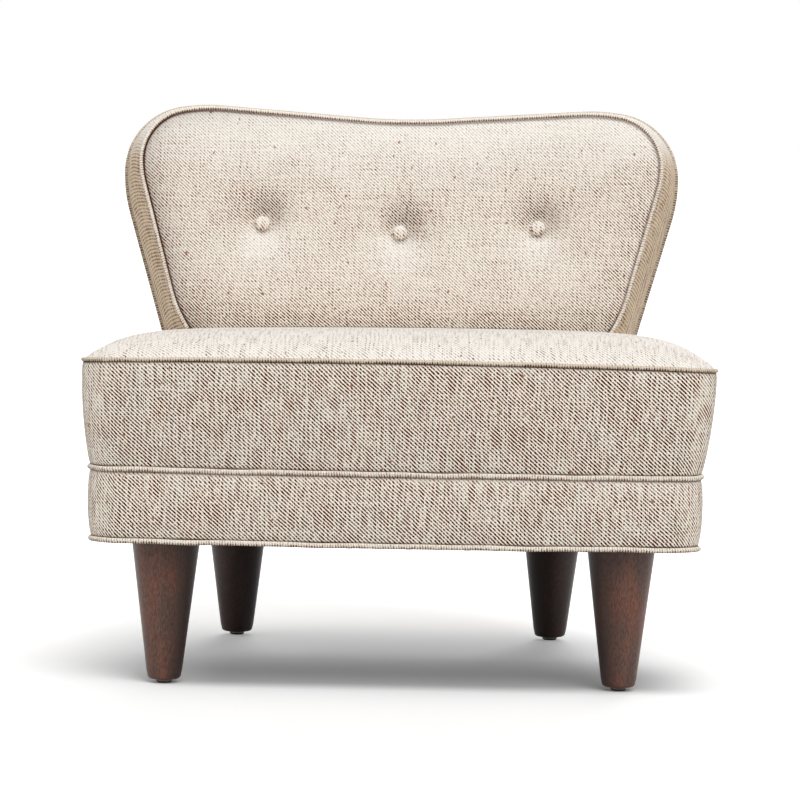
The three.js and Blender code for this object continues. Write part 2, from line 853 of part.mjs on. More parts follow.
// The shoulder, the corner, the crest and the dip, each an arc that starts where the last ends.
function backTop(half_width, widest_height, shoulder_radius, corner_radius, side_lean) {
  const shoulder = { x: half_width - shoulder_radius, z: widest_height }
  const corner = { x: half_width - corner_radius, z: widest_height }
  const turn = crest_radius - corner_radius
  const crest = { x: corner.x - turn * Math.cos(crest_turn), z: corner.z - turn * Math.sin(crest_turn) }
  const slope = Math.PI / 2 + dip_slope
  const crest_end = {
    x: crest.x + crest_radius * Math.cos(slope), z: crest.z + crest_radius * Math.sin(slope),
  }
  const dip_start = { x: dip_radius * Math.sin(dip_slope) }
  dip_start.z = crest_end.z - (crest_end.x - dip_start.x) * Math.tan(dip_slope)
  const dip = { x: 0, z: dip_start.z + dip_radius * Math.cos(dip_slope) }
  const crest_arc = outlineArc(crest, crest_radius, crest_turn, slope, steps.crest)
  const last = crest_arc[crest_arc.length - 1]
  const line = Array.from({ length: steps.top }, (_, i) => {
    const share = (i + 1) / (steps.top + 1)
    return {
      ...last, x: last.x + (dip_start.x - last.x) * share, z: last.z + (dip_start.z - last.z) * share,
    }
  })
  return [
    ...outlineArc(shoulder, shoulder_radius, -side_lean, 0, steps.shoulder),
    ...outlineArc(corner, corner_radius, 0, crest_turn, steps.back_corner).slice(1),
    ...crest_arc.slice(1),
    ...line,
    ...outlineArc(dip, -dip_radius, Math.PI / 2 + dip_slope, Math.PI / 2, steps.dip),
  ]
}

// The side below the shoulder: a straight lean, from the level where the foot's own curve ends.
function backSide(start, level, side_lean) {
  const nx = Math.cos(side_lean)
  const nz = -Math.sin(side_lean)
  return Array.from({ length: steps.back_side }, (_, i) => {
    const z = level + ((start.z - level) * i) / steps.back_side
    return { x: start.x - (start.z - z) * Math.tan(side_lean), z, nx, nz }
  })
}

function wholeOutline(half) {
  return [...half, ...half.slice(0, -1).reverse().map(mirrored)]
}

// The rear edge rises from the seat's rear corner, then leans out along the side.
const rear_edge_foot_x = rear_corner.x + (rear_corner_radius - lower_draw_in) * Math.cos(rear_seam_angle)
const rear_edge_join_z = topWeltZ(rear_corner.x, rear_corner.y) + back_side_join
const rear_edge_rise = rear_edge_join_z - lower_welt_height

const rear_top = backTop(
  back_half_width, back_widest_height, back_shoulder_radius, back_corner_radius, back_side_lean,
)

function rearOutline() {
  const top = rear_top
  const side = backSide(top[0], rear_edge_join_z, back_side_lean)
  const seat_level = topWeltZ(rear_corner.x, rear_corner.y)
  const foot = Array.from({ length: steps.tuck }, (_, i) => {
    const z = seat_level + ((side[0].z - seat_level) * i) / steps.tuck
    return { x: rearEdgeX(z), z, nx: 1, nz: 0 }
  })
  return wholeOutline([...foot, ...side, ...top])
}

function rearEdgeX(z) {
  const shoulder = rear_top[0]
  const join_x = shoulder.x - (shoulder.z - rear_edge_join_z) * Math.tan(back_side_lean)
  if (z < rear_edge_join_z) {
    return rear_edge_foot_x + ((join_x - rear_edge_foot_x) * (z - lower_welt_height)) / rear_edge_rise
  }
  if (z < shoulder.z) {
    return shoulder.x - (shoulder.z - z) * Math.tan(back_side_lean)
  }
  const rise = z - back_widest_height
  const radius = rise < 0 ? back_shoulder_radius : back_corner_radius
  return back_half_width - radius + Math.sqrt(radius * radius - rise * rise)
}

// The front welt curves in towards the seat at its foot.
function frontOutline() {
  const top = backTop(
    front_half_width, front_widest_height, front_shoulder_radius, front_corner_top_radius, front_side_lean,
  )
  const side = backSide(top[0], tuck_height, front_side_lean)
  const centre = {
    x: side[0].x - tuck_radius * Math.cos(front_side_lean),
    z: side[0].z + tuck_radius * Math.sin(front_side_lean),
  }
  const tuck = outlineArc(centre, tuck_radius, -tuck_turn, -front_side_lean, steps.tuck).slice(0, -1)
  return wholeOutline([...tuck, ...side, ...top])
}

const front_outline = frontOutline()
const rear_outline = rearOutline()

const frontPoint = (place, inset) => {
  const x = place.x - place.nx * inset
  const z = place.z - place.nz * inset
  return new THREE.Vector3(x, backFrontY(x, z), z)
}

const rearPoint = (place, inset) => {
  const x = place.x - place.nx * inset
  const z = place.z - place.nz * inset
  return new THREE.Vector3(x, backRearY(x, z), z)
}

const across = (place) => new THREE.Vector3(place.nx, 0, place.nz)

function frontWelt() {
  const path = front_outline.map((place) => frontPoint(place, 0))
  return cut(tube(path, front_outline.map(across), welt_radius, steps.welt), [seat_clearance])
}

function rearWelt() {
  const foot_z = lower_welt_height + 2 * welt_radius + soft_gap
  const foot = { x: rearEdgeX(foot_z), z: foot_z, nx: 1, nz: 0 }
  const places = [foot, ...rear_outline, mirrored(foot)]
  return tube(places.map((place) => rearPoint(place, 0)), places.map(across), welt_radius, steps.welt)
}

// The band between the two welts of the back.
function backBoxing() {
  const margin = welt_radius + soft_gap
  const rows = front_outline.map((place, i) => {
    const outer = [frontPoint(place, 0), rearPoint(rear_outline[i], 0)]
    const inner = [frontPoint(place, cover_thickness), rearPoint(rear_outline[i], cover_thickness)]
    const share = margin / outer[0].distanceTo(outer[1])
    const between = ([a, b], part) => new THREE.Vector3().lerpVectors(a, b, part)
    return [
      between(outer, share), between(outer, 1 - share), between(inner, 1 - share), between(inner, share),
    ]
  })
  return cut(loft(rows), [seat_clearance])
}

// The cushion of the back: a crown that falls to the front welt, drawn in at three buttons

const buttons = [
  { name: 'left', x: tuft_spread, z: tuft_side_height },
  { name: 'middle', x: 0, z: tuft_middle_height },
  { name: 'right', x: -tuft_spread, z: tuft_side_height },
]

// How far a point lies inside the front outline, less than zero outside it.
function insideBy(x, z) {
  let nearest = Infinity
  let inside = 0
  for (let i = 0; i + 1 < front_outline.length; i++) {
    const a = front_outline[i]
    const b = front_outline[i + 1]
    const length_squared = (b.x - a.x) ** 2 + (b.z - a.z) ** 2
    const along = ((x - a.x) * (b.x - a.x) + (z - a.z) * (b.z - a.z)) / length_squared
    const share = Math.min(Math.max(along, 0), 1)
    const px = a.x + (b.x - a.x) * share
    const pz = a.z + (b.z - a.z) * share
    const distance = Math.hypot(x - px, z - pz)
    if (distance < nearest) {
      nearest = distance
      inside = Math.sign((b.x - a.x) * (z - a.z) - (b.z - a.z) * (x - a.x)) * distance
    }
  }
  return inside
}

function cushionY(x, z) {
  const inside = insideBy(x, z)
  const crown = inside > 0
    ? back_crown * (1 - Math.exp(-inside / back_crown_run))
    : (back_crown * inside) / back_crown_run
  let tuft = 0
  for (const button of buttons) {
    const away = Math.max(Math.hypot(x - button.x, z - button.z) - tuft_flat, 0)
    tuft += tuft_depth * Math.exp(-away / tuft_fall)
  }
  return backFrontY(x, z) - crown + tuft
}

// Lines of a grid: on each tuft, beside it at its flat and its fall, and evenly between.
function gridLines(centres, low, high) {
  const offsets = [0, tuft_flat * tuft_line_share, tuft_flat + tuft_fall]
  const fixed = [low, high]
  for (const centre of centres) {
    for (const offset of offsets) {
      fixed.push(centre - offset, centre + offset)
    }
  }
  const least = tuft_flat / 2
  const sorted = [...new Set(fixed)].sort((a, b) => a - b)
  const kept = sorted.filter((value, i) => (
    i === 0 || value - sorted[i - 1] > least || centres.includes(value)
  ))
  const lines = []
  for (let i = 0; i + 1 < kept.length; i++) {
    const parts = Math.max(Math.round((kept[i + 1] - kept[i]) / grid_spacing), 1)
    for (let k = 0; k < parts; k++) {
      lines.push(kept[i] + ((kept[i + 1] - kept[i]) * k) / parts)
    }
  }
  return [...lines, high]
}

const cushion_reach = front_half_width + welt_radius
const cushion_low = top_welt_height - seat_crown
const cushion_high = front_widest_height + front_corner_top_radius + cushion_head_room
const cushion_columns = gridLines([-tuft_spread, 0, tuft_spread], -cushion_reach, cushion_reach)
const cushion_rows = gridLines([tuft_middle_height, tuft_side_height], cushion_low, cushion_high)

// A slab whose front follows the cushion's surface, moved back, and whose rear follows another surface.
function cushionSlab(front_offset, rearY, rear_rows) {
  return loft(cushion_columns.map((x) => [
    ...cushion_rows.map((z) => new THREE.Vector3(x, cushionY(x, z) + front_offset, z)),
    ...[...rear_rows].reverse().map((z) => new THREE.Vector3(x, rearY(x, z), z)),
  ]), { fold_column: cushion_rows.length })
}

// The room between the boxing's walls, carried on forwards past the front welt.
const room_forward_share = 0.24

function boxingRoom(front_inset, rear_inset) {
  const front = []
  const rear = []
  front_outline.forEach((place, i) => {
    const a = frontPoint(place, front_inset)
    const b = rearPoint(rear_outline[i], rear_inset)
    front.push(new THREE.Vector3().lerpVectors(a, b, -room_forward_share))
    rear.push(b)
  })
  return bridge(front, rear)
}

// A straight-sided room with the given outline, moved in and carried down to a foot.
function outlineRoom(outline, inset, foot_z) {
  const near = back_front_place - overrun
  const far = seat_depth + overrun
  const loop = outline.map((place) => ({ x: place.x - place.nx * inset, z: place.z - place.nz * inset }))
  const first = loop[0]
  const last = loop[loop.length - 1]
  const corners = foot_z < first.z ? [{ x: last.x, z: foot_z }, { x: first.x, z: foot_z }] : []
  const all = [...loop, ...corners]
  return bridge(
    all.map((p) => new THREE.Vector3(p.x, near, p.z)),
    all.map((p) => new THREE.Vector3(p.x, far, p.z)),
  )
}

function twineHoles() {
  return buttons.map((button) => {
    const radius = twine_radius + fit_gap
    const hole = new THREE.CylinderGeometry(radius, radius, overrun, steps.twine)
    hole.translate(button.x, backFrontY(button.x, button.z), button.z)
    return hole
  })
}

function insideBackCover() {
  const slab = cushionSlab(0, (x, z) => cushionY(x, z) + cover_thickness, cushion_rows)
  const room = outlineRoom(front_outline, welt_radius + soft_gap, cushion_low)
  return cut(common(slab, room), [seat_clearance, ...twineHoles()])
}

const frame_rear_offset = welt_radius + 2 * soft_gap
const frame_front_offset = frame_rear_offset + post_depth
const webbing_front_offset = frame_front_offset + fit_gap + panel_thickness

function backFoam() {
  const slab = cushionSlab(
    cover_thickness + soft_gap,
    (x, z) => backRearY(x, z) - webbing_front_offset - soft_gap,
    [cushion_low, cushion_high],
  )
  const front_inset = welt_radius + 3 * soft_gap
  const room = boxingRoom(front_inset, cover_thickness + 2 * soft_gap)
  return cut(common(slab, room), [seat_clearance, ...twineHoles()])
}

// Every slice of the back bends at the same columns, so that neighbours lie evenly apart.
const slice_step = (back_half_width + welt_radius) / steps.slice
const slice_columns = Array.from({ length: 2 * steps.slice + 1 }, (_, i) => (i - steps.slice) * slice_step)

// A slice of the back with the given outline, between two surfaces that follow the outside panel.
function backSlice(outline, front_offset, rear_offset) {
  const xs = outline.map((p) => p.x)
  const zs = outline.map((p) => p.z)
  const [left, right] = [Math.min(...xs), Math.max(...xs)]
  const [low, high] = [Math.min(...zs) - fit_gap, Math.max(...zs) + fit_gap]
  const slab = loft(slice_columns.filter((x) => x > left - slice_step && x < right + slice_step).map((x) => {
    const at = (z, offset) => new THREE.Vector3(x, backRearY(x, z) - offset, z)
    return [at(low, front_offset), at(high, front_offset), at(high, rear_offset), at(low, rear_offset)]
  }))
  const near = back_front_place - overrun
  const far = seat_depth + overrun
  const room = bridge(
    outline.map((p) => new THREE.Vector3(p.x, near, p.z)),
    outline.map((p) => new THREE.Vector3(p.x, far, p.z)),
  )
  return common(slab, room)
}

const postOuterX = (z) => rearEdgeX(z) - frame_inset

function insetOutline(outline, inset) {
  return outline.map((place) => ({ x: place.x - place.nx * inset, z: place.z - place.nz * inset }))
}

function outsidePanel() {
  const foot_z = band_foot
  const margin = welt_radius + soft_gap
  const foot_x = rearEdgeX(foot_z) - margin
  const outline = [
    { x: foot_x, z: foot_z }, ...insetOutline(rear_outline, margin), { x: -foot_x, z: foot_z },
  ]
  return backSlice(outline, cover_thickness, 0)
}

function webbingSheet() {
  const foot_z = liner_rail_foot
  const x = postOuterX(foot_z)
  const upper = insetOutline(rear_outline, frame_inset).filter((p) => p.z > foot_z + liner_rail_height)
  const outline = [{ x, z: foot_z }, ...upper, { x: -x, z: foot_z }]
  return backSlice(outline, webbing_front_offset, frame_front_offset + fit_gap)
}

function backPost() {
  const levels = [rail_top + fit_gap, rear_edge_join_z, top_rail_foot - fit_gap]
  const outer = levels.map((z) => ({ x: postOuterX(z), z }))
  const inner = levels.map((z) => ({ x: postOuterX(z) - post_width, z })).reverse()
  return backSlice([...outer, ...inner], frame_front_offset, frame_rear_offset)
}

function backTopRail() {
  const x = postOuterX(top_rail_foot)
  const upper = insetOutline(rear_outline, frame_inset).filter((p) => p.z > top_rail_foot)
  const outline = [{ x, z: top_rail_foot }, ...upper, { x: -x, z: top_rail_foot }]
  return backSlice(outline, frame_front_offset, frame_rear_offset)
}

function linerRail() {
  const levels = [liner_rail_foot, rear_edge_join_z, liner_rail_foot + liner_rail_height]
  const right = levels.map((z) => ({ x: postOuterX(z) - post_width - fit_gap, z }))
  const left = [...right].reverse().map((p) => ({ x: -p.x, z: p.z }))
  return backSlice([...right, ...left], frame_front_offset, frame_rear_offset)
}

// Covered buttons and the twines that hold them

function buttonSeatY(button) {
  return cushionY(button.x, button.z) - soft_gap
}

function coveredButton(button) {
  const dome = button_dome_shares.map(([width_share, height_share]) => (
    [button_radius * width_share, button_height * height_share]
  ))
  const profile = [
    [0, 0],
    [button_radius - button_edge_round, 0],
    [button_radius, button_edge_round],
    ...dome,
    [0, button_height],
  ]
  const geometry = new THREE.LatheGeometry(profile.map(([r, h]) => new THREE.Vector2(r, h)), steps.leg)
  const forward = new THREE.Vector3(-button.x / back_wrap_radius, -1, Math.tan(back_recline)).normalize()
  const tilt = new THREE.Quaternion().setFromUnitVectors(new THREE.Vector3(0, 1, 0), forward)
  geometry.applyQuaternion(tilt)
  geometry.translate(button.x, buttonSeatY(button), button.z)
  return geometry
}

function tuftTwine(button) {
  const start = buttonSeatY(button) + fit_gap + twine_radius * Math.tan(back_recline)
  const end = backRearY(button.x, button.z) - webbing_front_offset - seat_gap
  const geometry = new THREE.CylinderGeometry(twine_radius, twine_radius, end - start, steps.twine)
  geometry.translate(button.x, (start + end) / 2, button.z)
  return geometry
}

const seat_clearance = seatClearance()

// The chair

addPiece('seat_top_cover', seatTopCover(), finishes.fabric)
addPiece('seat_boxing', seatBoxing(), finishes.fabric_shade)
addPiece('seat_apron', seatApron(), finishes.fabric_shade)
addPiece('seat_top_welt', seatTopWelt(), finishes.welt)
addPiece('seat_lower_welt', ringWelt(lower_draw_in, lower_welt_height), finishes.welt)
addPiece('seat_bottom_welt', ringWelt(bottom_draw_in, bottom_welt_height), finishes.welt)
addPiece('seat_foam', seatFoam(), finishes.foam)
addPiece('seat_deck', seatDeck(), finishes.jute)
addPiece('dust_cover', dustCover(), finishes.dust_cloth)

addPiece('front_rail', frontRail(), finishes.frame_wood)
addPiece('back_rail', backRail(), finishes.frame_wood)

// The left side's frame pieces, and their mirror images on the right.
const side_pieces = {
  side_rail: sideRail(),
  corner_block_front: cornerBlock(frontBlockPlaces(), legs[0], 0),
  corner_block_rear: cornerBlock(rearBlockPlaces(), legs[2], rear_leg_rake),
  back_post: backPost(),
}

for (const [name, geometry] of Object.entries(side_pieces)) {
  addPiece(`${name}_left`, geometry, finishes.frame_wood)
  addPiece(`${name}_right`, geometryOf(solidOf(geometry).mirror([1, 0, 0])), finishes.frame_wood)
}

addPiece('back_top_rail', backTopRail(), finishes.frame_wood)
addPiece('back_liner_rail', linerRail(), finishes.frame_wood)
addPiece('back_webbing', webbingSheet(), finishes.jute)
addPiece('back_foam', backFoam(), finishes.foam)
addPiece('inside_back_cover', insideBackCover(), finishes.fabric)
addPiece('back_boxing', backBoxing(), finishes.fabric_shade)
addPiece('back_front_welt', frontWelt(), finishes.welt)
addPiece('back_rear_welt', rearWelt(), finishes.welt)
addPiece('outside_back_panel', outsidePanel(), finishes.fabric_shade)

for (const button of buttons) {
  addPiece(`button_${button.name}`, coveredButton(button), finishes.fabric)
  addPiece(`tuft_twine_${button.name}`, tuftTwine(button), finishes.jute)
}

for (const { name, x, y, rake } of legs) {
  addPiece(`leg_${name}`, leg(rake), finishes.leg_wood).position.set(x, y, 0)
  addPiece(`hanger_bolt_${name}`, hangerBolt(rake), finishes.zinc).position.set(x, y, 0)
  addPiece(`glide_${name}`, glide(rake), finishes.zinc).position.set(x, y, 0)
}

for (let i = 0; i < spring_count; i++) {
  const x = (i - (spring_count - 1) / 2) * spring_pitch
  const { geometry, start, end } = seatSpring(x)
  addPiece(`seat_spring_${i + 1}`, geometry, finishes.spring_steel)
  addPiece(`spring_clip_front_${i + 1}`, springClip(x, start, Math.PI), finishes.zinc)
  addPiece(`spring_clip_rear_${i + 1}`, springClip(x, end, 0), finishes.zinc)
}

// The origin goes to the floor under the middle of the chair's bounding box.
const middle = new THREE.Box3().setFromObject(group).getCenter(new THREE.Vector3())
group.position.set(-middle.x, -middle.y, 0)

export default group
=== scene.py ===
# A slipper chair dressed for its picture: twill covers with self welts, covered buttons, stained turned legs,
# nail-on glides, a dust cover, and a pale studio round them. Lengths are millimetres on the bench, where x
# runs to the sitter's left, y back from the middle of the seat's front edge and z up from the floor.

import json
import math

import bmesh
import bpy
import numpy as np
from mathutils import Matrix, Vector


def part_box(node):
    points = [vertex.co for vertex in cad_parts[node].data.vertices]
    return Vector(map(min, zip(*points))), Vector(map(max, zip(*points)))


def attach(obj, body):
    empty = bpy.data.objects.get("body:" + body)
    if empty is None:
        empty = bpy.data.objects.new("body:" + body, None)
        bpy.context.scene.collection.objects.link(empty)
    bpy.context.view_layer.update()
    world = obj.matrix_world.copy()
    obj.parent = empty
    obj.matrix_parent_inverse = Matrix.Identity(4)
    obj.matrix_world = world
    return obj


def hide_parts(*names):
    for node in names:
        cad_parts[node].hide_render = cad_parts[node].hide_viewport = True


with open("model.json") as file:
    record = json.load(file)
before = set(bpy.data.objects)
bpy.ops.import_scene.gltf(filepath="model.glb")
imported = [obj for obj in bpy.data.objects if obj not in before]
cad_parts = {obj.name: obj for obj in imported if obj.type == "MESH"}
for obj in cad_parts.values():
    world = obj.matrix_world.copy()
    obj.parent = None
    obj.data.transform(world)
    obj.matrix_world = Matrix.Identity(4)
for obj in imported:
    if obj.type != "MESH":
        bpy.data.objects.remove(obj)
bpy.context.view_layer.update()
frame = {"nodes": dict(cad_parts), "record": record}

mm = 0.001

# Seat: plan, welts and crown
seat_half_width = 385
seat_depth = 640
front_bow_radius = 4500
rear_bow_radius = 1500
front_corner_radius = 48
rear_corner_radius = 24
rear_seam_angle = math.radians(60)
side_taper = math.radians(6.7)
bottom_welt_height = 181
lower_welt_height = 268.5
top_welt_height = 403
top_welt_corner_drop = 5
seat_rake = math.radians(3)
lower_draw_in = 12
bottom_draw_in = 14
apron_bulge = 2.5
seat_crown = 44
seat_crown_side_run = 27
seat_crown_front_run = 40
seat_crown_rear_run = 45
corner_settle_run = 20

# Seat: where the covers are not quite even, fuller and further out on the sitter's left
crown_lean_share = 0.08
left_spread = 6.5
left_spread_foot = 2.2
right_draw = 1.2
spread_start = 250
spread_fade = 300
spread_end = 560

# Back: surfaces, outlines, crown and tufts
back_front_place = 500
back_front_height = 420
back_recline = math.radians(14)
back_wrap_radius = 1370
back_panel_recline = math.radians(7)
back_half_width = 369
back_widest_height = 618
back_shoulder_radius = 200
back_corner_radius = 85
back_side_lean = math.radians(16.1)
back_side_join = 32.5
front_half_width = 343
front_widest_height = 637
front_shoulder_radius = 120
front_corner_top_radius = 65
front_side_lean = math.radians(15.6)
tuck_turn = math.radians(37)
tuck_radius = 170
tuck_height = 465
crest_radius = 230
crest_turn = math.radians(80)
dip_slope = math.radians(4)
dip_radius = 860
back_crown = 24
back_crown_run = 40
tufts = [("left", 182, 553.5), ("middle", 0, 544), ("right", -182, 553.5)]
tuft_depth = 15
tuft_flat = 15.5
tuft_fall = 24
button_radius = 9.8
button_height = 7
button_edge_round = 1.4
button_dome_shares = [(0.97, 0.55), (0.86, 0.82), (0.6, 0.95), (0.3, 0.99)]
button_seat_gap = 0.5
button_gather = 0.25
button_gathers = 11

# Cloth and seams
cloth_thickness = 1.2
welt_radius = 3.1
fine_welt_radius = 2.5
fine_seam_reach = 1.9
top_welt_set_in = 1.2
top_welt_lift = 3.5
top_welt_end_lift = 0.9
top_welt_lift_run = 480
top_seam_fall = 2.6
top_seam_fall_run = 2.5
top_welt_wander = 0.5
low_welt_wander = 0.7
welt_wander_wave = 140
top_welt_phase = 0.4
lower_welt_phase = 1.9
bottom_welt_phase = 3.1
seam_overlap = 0.5
seam_reach = welt_radius - seam_overlap
seam_roll = 2.2
seam_roll_run = 3.5
seam_shade_run = 0.9
seam_shade_start = 0.6
seam_hidden = welt_radius - seam_reach / 2 + seam_shade_start
seam_rows = np.array([0, 0.6, 1.2, 1.9, 2.7, 3.6, 4.8, 6.6, 10])
band_slack = 0.7
band_slack_wave = 170
band_slack_phase = 1.3
crevice_gap = 0.8
crevice_lip = 9
crevice_roll = 8
crevice_roll_run = 16
band_width = 110
back_band_bulge = 2.5
band_row_lean = 0.12
well_half_width = 296
well_front = 573
foam_well_front = 560
foam_gap = 1.2
webbing_depth = 49
# Painted shade on the back's cover: along its left edge, which turns away from the light, and up and to the
# right of each button.
left_edge_shade = 0.5
left_edge_shade_run = 16
tuft_shade = 0.17
tuft_shade_right = 12
tuft_shade_up = 15
back_core = (0, 560, 520)
deck_head = 271.5
deck_arch = 16

# How deep the shade is in each seam's crease: above and below on a band, and round the back's faces
boxing_shades = (1.0, 0.9)
apron_shades = (0.7, 0.9)
face_shade = 0.6
back_band_shade = 0.7
panel_shade = 0.7
button_rim_shade = 0.15

# Thread and staples
stitch_set_in = 3.6
stitch_pitch = 8
stitch_length = 3.5
thread_width = 0.9
staple_set_in = 11
staple_pitch = 36
staple_width = 11
staple_wire = 1.2
unit_ball = {"Segments": 8, "Rings": 6, "Radius": 0.5}

# Legs, glides and dust cover
rail_inset = 17.9
dust_cover_foot = 177.2
dust_cover_thickness = 1.5
dust_cloth_thickness = 0.4
dust_sag = 2.5
dust_sag_wave = 230
dust_sag_phase = 0.9
leg_head = 176.9
leg_foot = 4.9
leg_top_radius = 42
leg_foot_radius = 20.7
leg_edge_round = 5
glide_profile = [
    (0, 0), (7.2, 0), (8.6, 0.35), (9.0, 1.1), (9.0, 1.6), (9.7, 1.7),
    (10, 2.1), (10, 3.4), (9.6, 4.2), (8.2, 4.6), (0, 4.6),
]
glide_base_height = 1.5
legs = {
    "front_left": (280, 90, 0.0),
    "front_right": (-280, 90, 0.0),
    "rear_left": (210, 546, math.radians(10)),
    "rear_right": (-210, 546, math.radians(10)),
}

# How finely shapes are stepped
places_front = 44
places_corner = 14
places_side = 52
places_rear_corner = 10
places_rear = 30
outline_tuck = 20
outline_side = 24
outline_shoulder = 12
outline_corner = 22
outline_crest = 12
outline_top = 14
outline_dip = 8
boxing_rows = 30
apron_rows = 20
cover_steps = (140, 112)
face_steps = (150, 76)
face_height = 300
face_foot_places = 160
panel_steps = (100, 70)
panel_height = 430
panel_foot_places = 110
back_band_places = 260
back_band_columns = 12
back_foam_steps = (90, 44)
seat_foam_steps = (90, 76)
dust_steps = (70, 56)
front_welt_places = 420
rear_welt_places = 460
welt_sides = 14
button_sides = 48
glide_sides = 40
leg_sides = 72
leg_edge_levels = 9
leg_levels = 30
crevice_rounds = 12
weld_reach = 0.01
join_jump = 100
corner_pick = 0.7

# The bench's y of the chair's own origin, read from the front edge of the dust cover
bench_middle = rail_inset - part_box("dust_cover")[0].y / mm


def placed(points):
    """Bench millimetres to the frame's metres."""
    return (np.asarray(points, dtype=float) - np.array([0, bench_middle, 0])) * mm


# Seat: plan and heights

cos_taper = math.cos(side_taper)
sin_taper = math.sin(side_taper)


def front_corner_centre():
    x = seat_half_width - front_corner_radius
    reach = front_bow_radius - front_corner_radius
    return np.array([x, front_bow_radius - math.sqrt(reach * reach - x * x)])


front_corner = front_corner_centre()
side_line = cos_taper * front_corner[0] + sin_taper * front_corner[1] + front_corner_radius
front_bow_centre = np.array([0, front_bow_radius])
rear_bow_centre = np.array([0, seat_depth - rear_bow_radius])


def rear_corner_centre():
    line = side_line - rear_corner_radius
    reach = rear_bow_radius - rear_corner_radius
    along = line - sin_taper * rear_bow_centre[1]
    y = rear_bow_centre[1] + sin_taper * along + cos_taper * math.sqrt(reach * reach - along * along)
    return np.array([(line - sin_taper * y) / cos_taper, y])


rear_corner = rear_corner_centre()
front_angle = math.atan2(front_corner[1] - front_bow_radius, front_corner[0])
rear_angle = math.atan2(rear_corner[1] - rear_bow_centre[1], rear_corner[0])


def arc_places(centre, radius, start, end, count):
    """Places along an arc: two columns of point, two of the direction straight out."""
    angle = np.linspace(start, end, count + 1)
    out = np.stack([np.cos(angle), np.sin(angle)], axis=1)
    return np.hstack([centre + radius * out, out])


def line_places(start, end, count):
    share = np.linspace(0, 1, count + 1)[1:-1, None]
    return start + (end - start) * share


def right_places(stop):
    """The outline from the middle of the front to the rear corner, which it rounds to the stop angle."""
    front = arc_places(front_bow_centre, front_bow_radius, -math.pi / 2, front_angle, places_front)
    corner = arc_places(front_corner, front_corner_radius, front_angle, side_taper, places_corner)
    rear = arc_places(rear_corner, rear_corner_radius, side_taper, stop, places_rear_corner)
    side = line_places(corner[-1], rear[0], places_side)
    return np.vstack([front, corner[1:], side, rear])


def mirrored(places):
    return places[::-1] * np.array([-1, 1, -1, 1])


def set_in(places, inset):
    """Places moved in from the outline."""
    return places[:, :2] - places[:, 2:] * inset


def raised(flat, z):
    """Places of the plan at a level, or each at its own."""
    return np.hstack([flat, np.broadcast_to(z, len(flat))[:, None]])


def both_halves(half):
    """A path to the middle, and back from there its mirror image."""
    flip = np.ones(half.shape[1])
    flip[0] = -1
    return np.vstack([half, (half[:-1] * flip)[::-1]])


def lengths(points):
    """How far along each point of a path lies."""
    return np.concatenate([[0], np.cumsum(np.linalg.norm(np.diff(points, axis=0), axis=1))])


def band_places(stop):
    """A strip's places from seam to seam, and how far along its cloth each lies from the front's middle."""
    right = right_places(stop)
    along = lengths(right[:, :2])
    return np.vstack([mirrored(right)[:-1], right]), np.concatenate([-along[::-1][:-1], along])


def ring_places():
    """The whole outline from the middle of the back, and how far along its cloth each place lies. The cloth
    has one more place, where it joins."""
    rear = arc_places(rear_bow_centre, rear_bow_radius, rear_angle, math.pi / 2, places_rear)
    right = np.vstack([right_places(rear_angle), rear[1:]])
    along = lengths(right[:, :2])
    return np.vstack([mirrored(right)[:-1], right[:-1]]), np.concatenate([-along[::-1][:-1], along])


ring, ring_along = ring_places()


def top_welt_z(x, y):
    return top_welt_height - y * math.tan(seat_rake) - top_welt_corner_drop * (x / seat_half_width) ** 2


def drawn_up(x, y):
    """How far the stuffing draws the top welt up in front of where it is pinned."""
    at_front = top_welt_lift + top_welt_end_lift * (x / seat_half_width) ** 2
    return at_front * np.clip(1 - y / top_welt_lift_run, 0, 1)


def drawn_welt_z(places):
    """The top welt's level along the outline."""
    x, y = places[:, 0], places[:, 1]
    return top_welt_z(x, y) + drawn_up(x, y)


def crown_rise(x, y):
    runs = [
        (side_line - cos_taper * np.abs(x) - sin_taper * y) / seat_crown_side_run,
        (front_bow_radius - np.hypot(x, y - front_bow_centre[1])) / seat_crown_front_run,
        (rear_bow_radius - np.hypot(x, y - rear_bow_centre[1])) / seat_crown_rear_run,
    ]
    rise = seat_crown * (1 + crown_lean_share * x / seat_half_width)
    for run in runs:
        rise = rise * (1 - np.exp(-np.maximum(run, 0)))
    return rise


def spread(points):
    """Moves the seat's ends: the covers are fuller on the left and tighter on the right, more so high up."""
    moved = points.copy()
    far_out = (np.abs(points[..., 0]) - spread_start) / (seat_half_width - spread_start)
    near_front = (spread_end - points[..., 1]) / (spread_end - spread_fade)
    up = np.clip((points[..., 2] - lower_welt_height) / (top_welt_height - lower_welt_height), 0, 1)
    left = left_spread_foot + (left_spread - left_spread_foot) * up
    amount = np.where(points[..., 0] > 0, left, right_draw * up)
    moved[..., 0] += amount * np.clip(far_out, 0, 1) * np.clip(near_front, 0, 1)
    return moved


def seat_top_z(x, y):
    """The height of the seat's top cover."""
    x, y = np.broadcast_arrays(np.asarray(x, dtype=float), np.asarray(y, dtype=float))
    apart = np.hypot(x.ravel()[:, None] - ring[None, :, 0], y.ravel()[:, None] - ring[None, :, 1])
    nearest = apart.argmin(axis=1)
    edge = crown_rise(ring[nearest, 0], ring[nearest, 1])
    left_over = edge * np.exp(-apart.min(axis=1) / corner_settle_run)
    return top_welt_z(x, y) + crown_rise(x, y) - left_over.reshape(x.shape)


# Back: surfaces and outlines


def back_front_y(x, z):
    leaned = back_front_place + (z - back_front_height) * math.tan(back_recline)
    return leaned - x * x / (2 * back_wrap_radius)


def back_rear_y(x, z):
    foot = seat_depth - lower_draw_in
    return foot + (z - lower_welt_height) * math.tan(back_panel_recline) - x * x / (2 * rear_bow_radius)


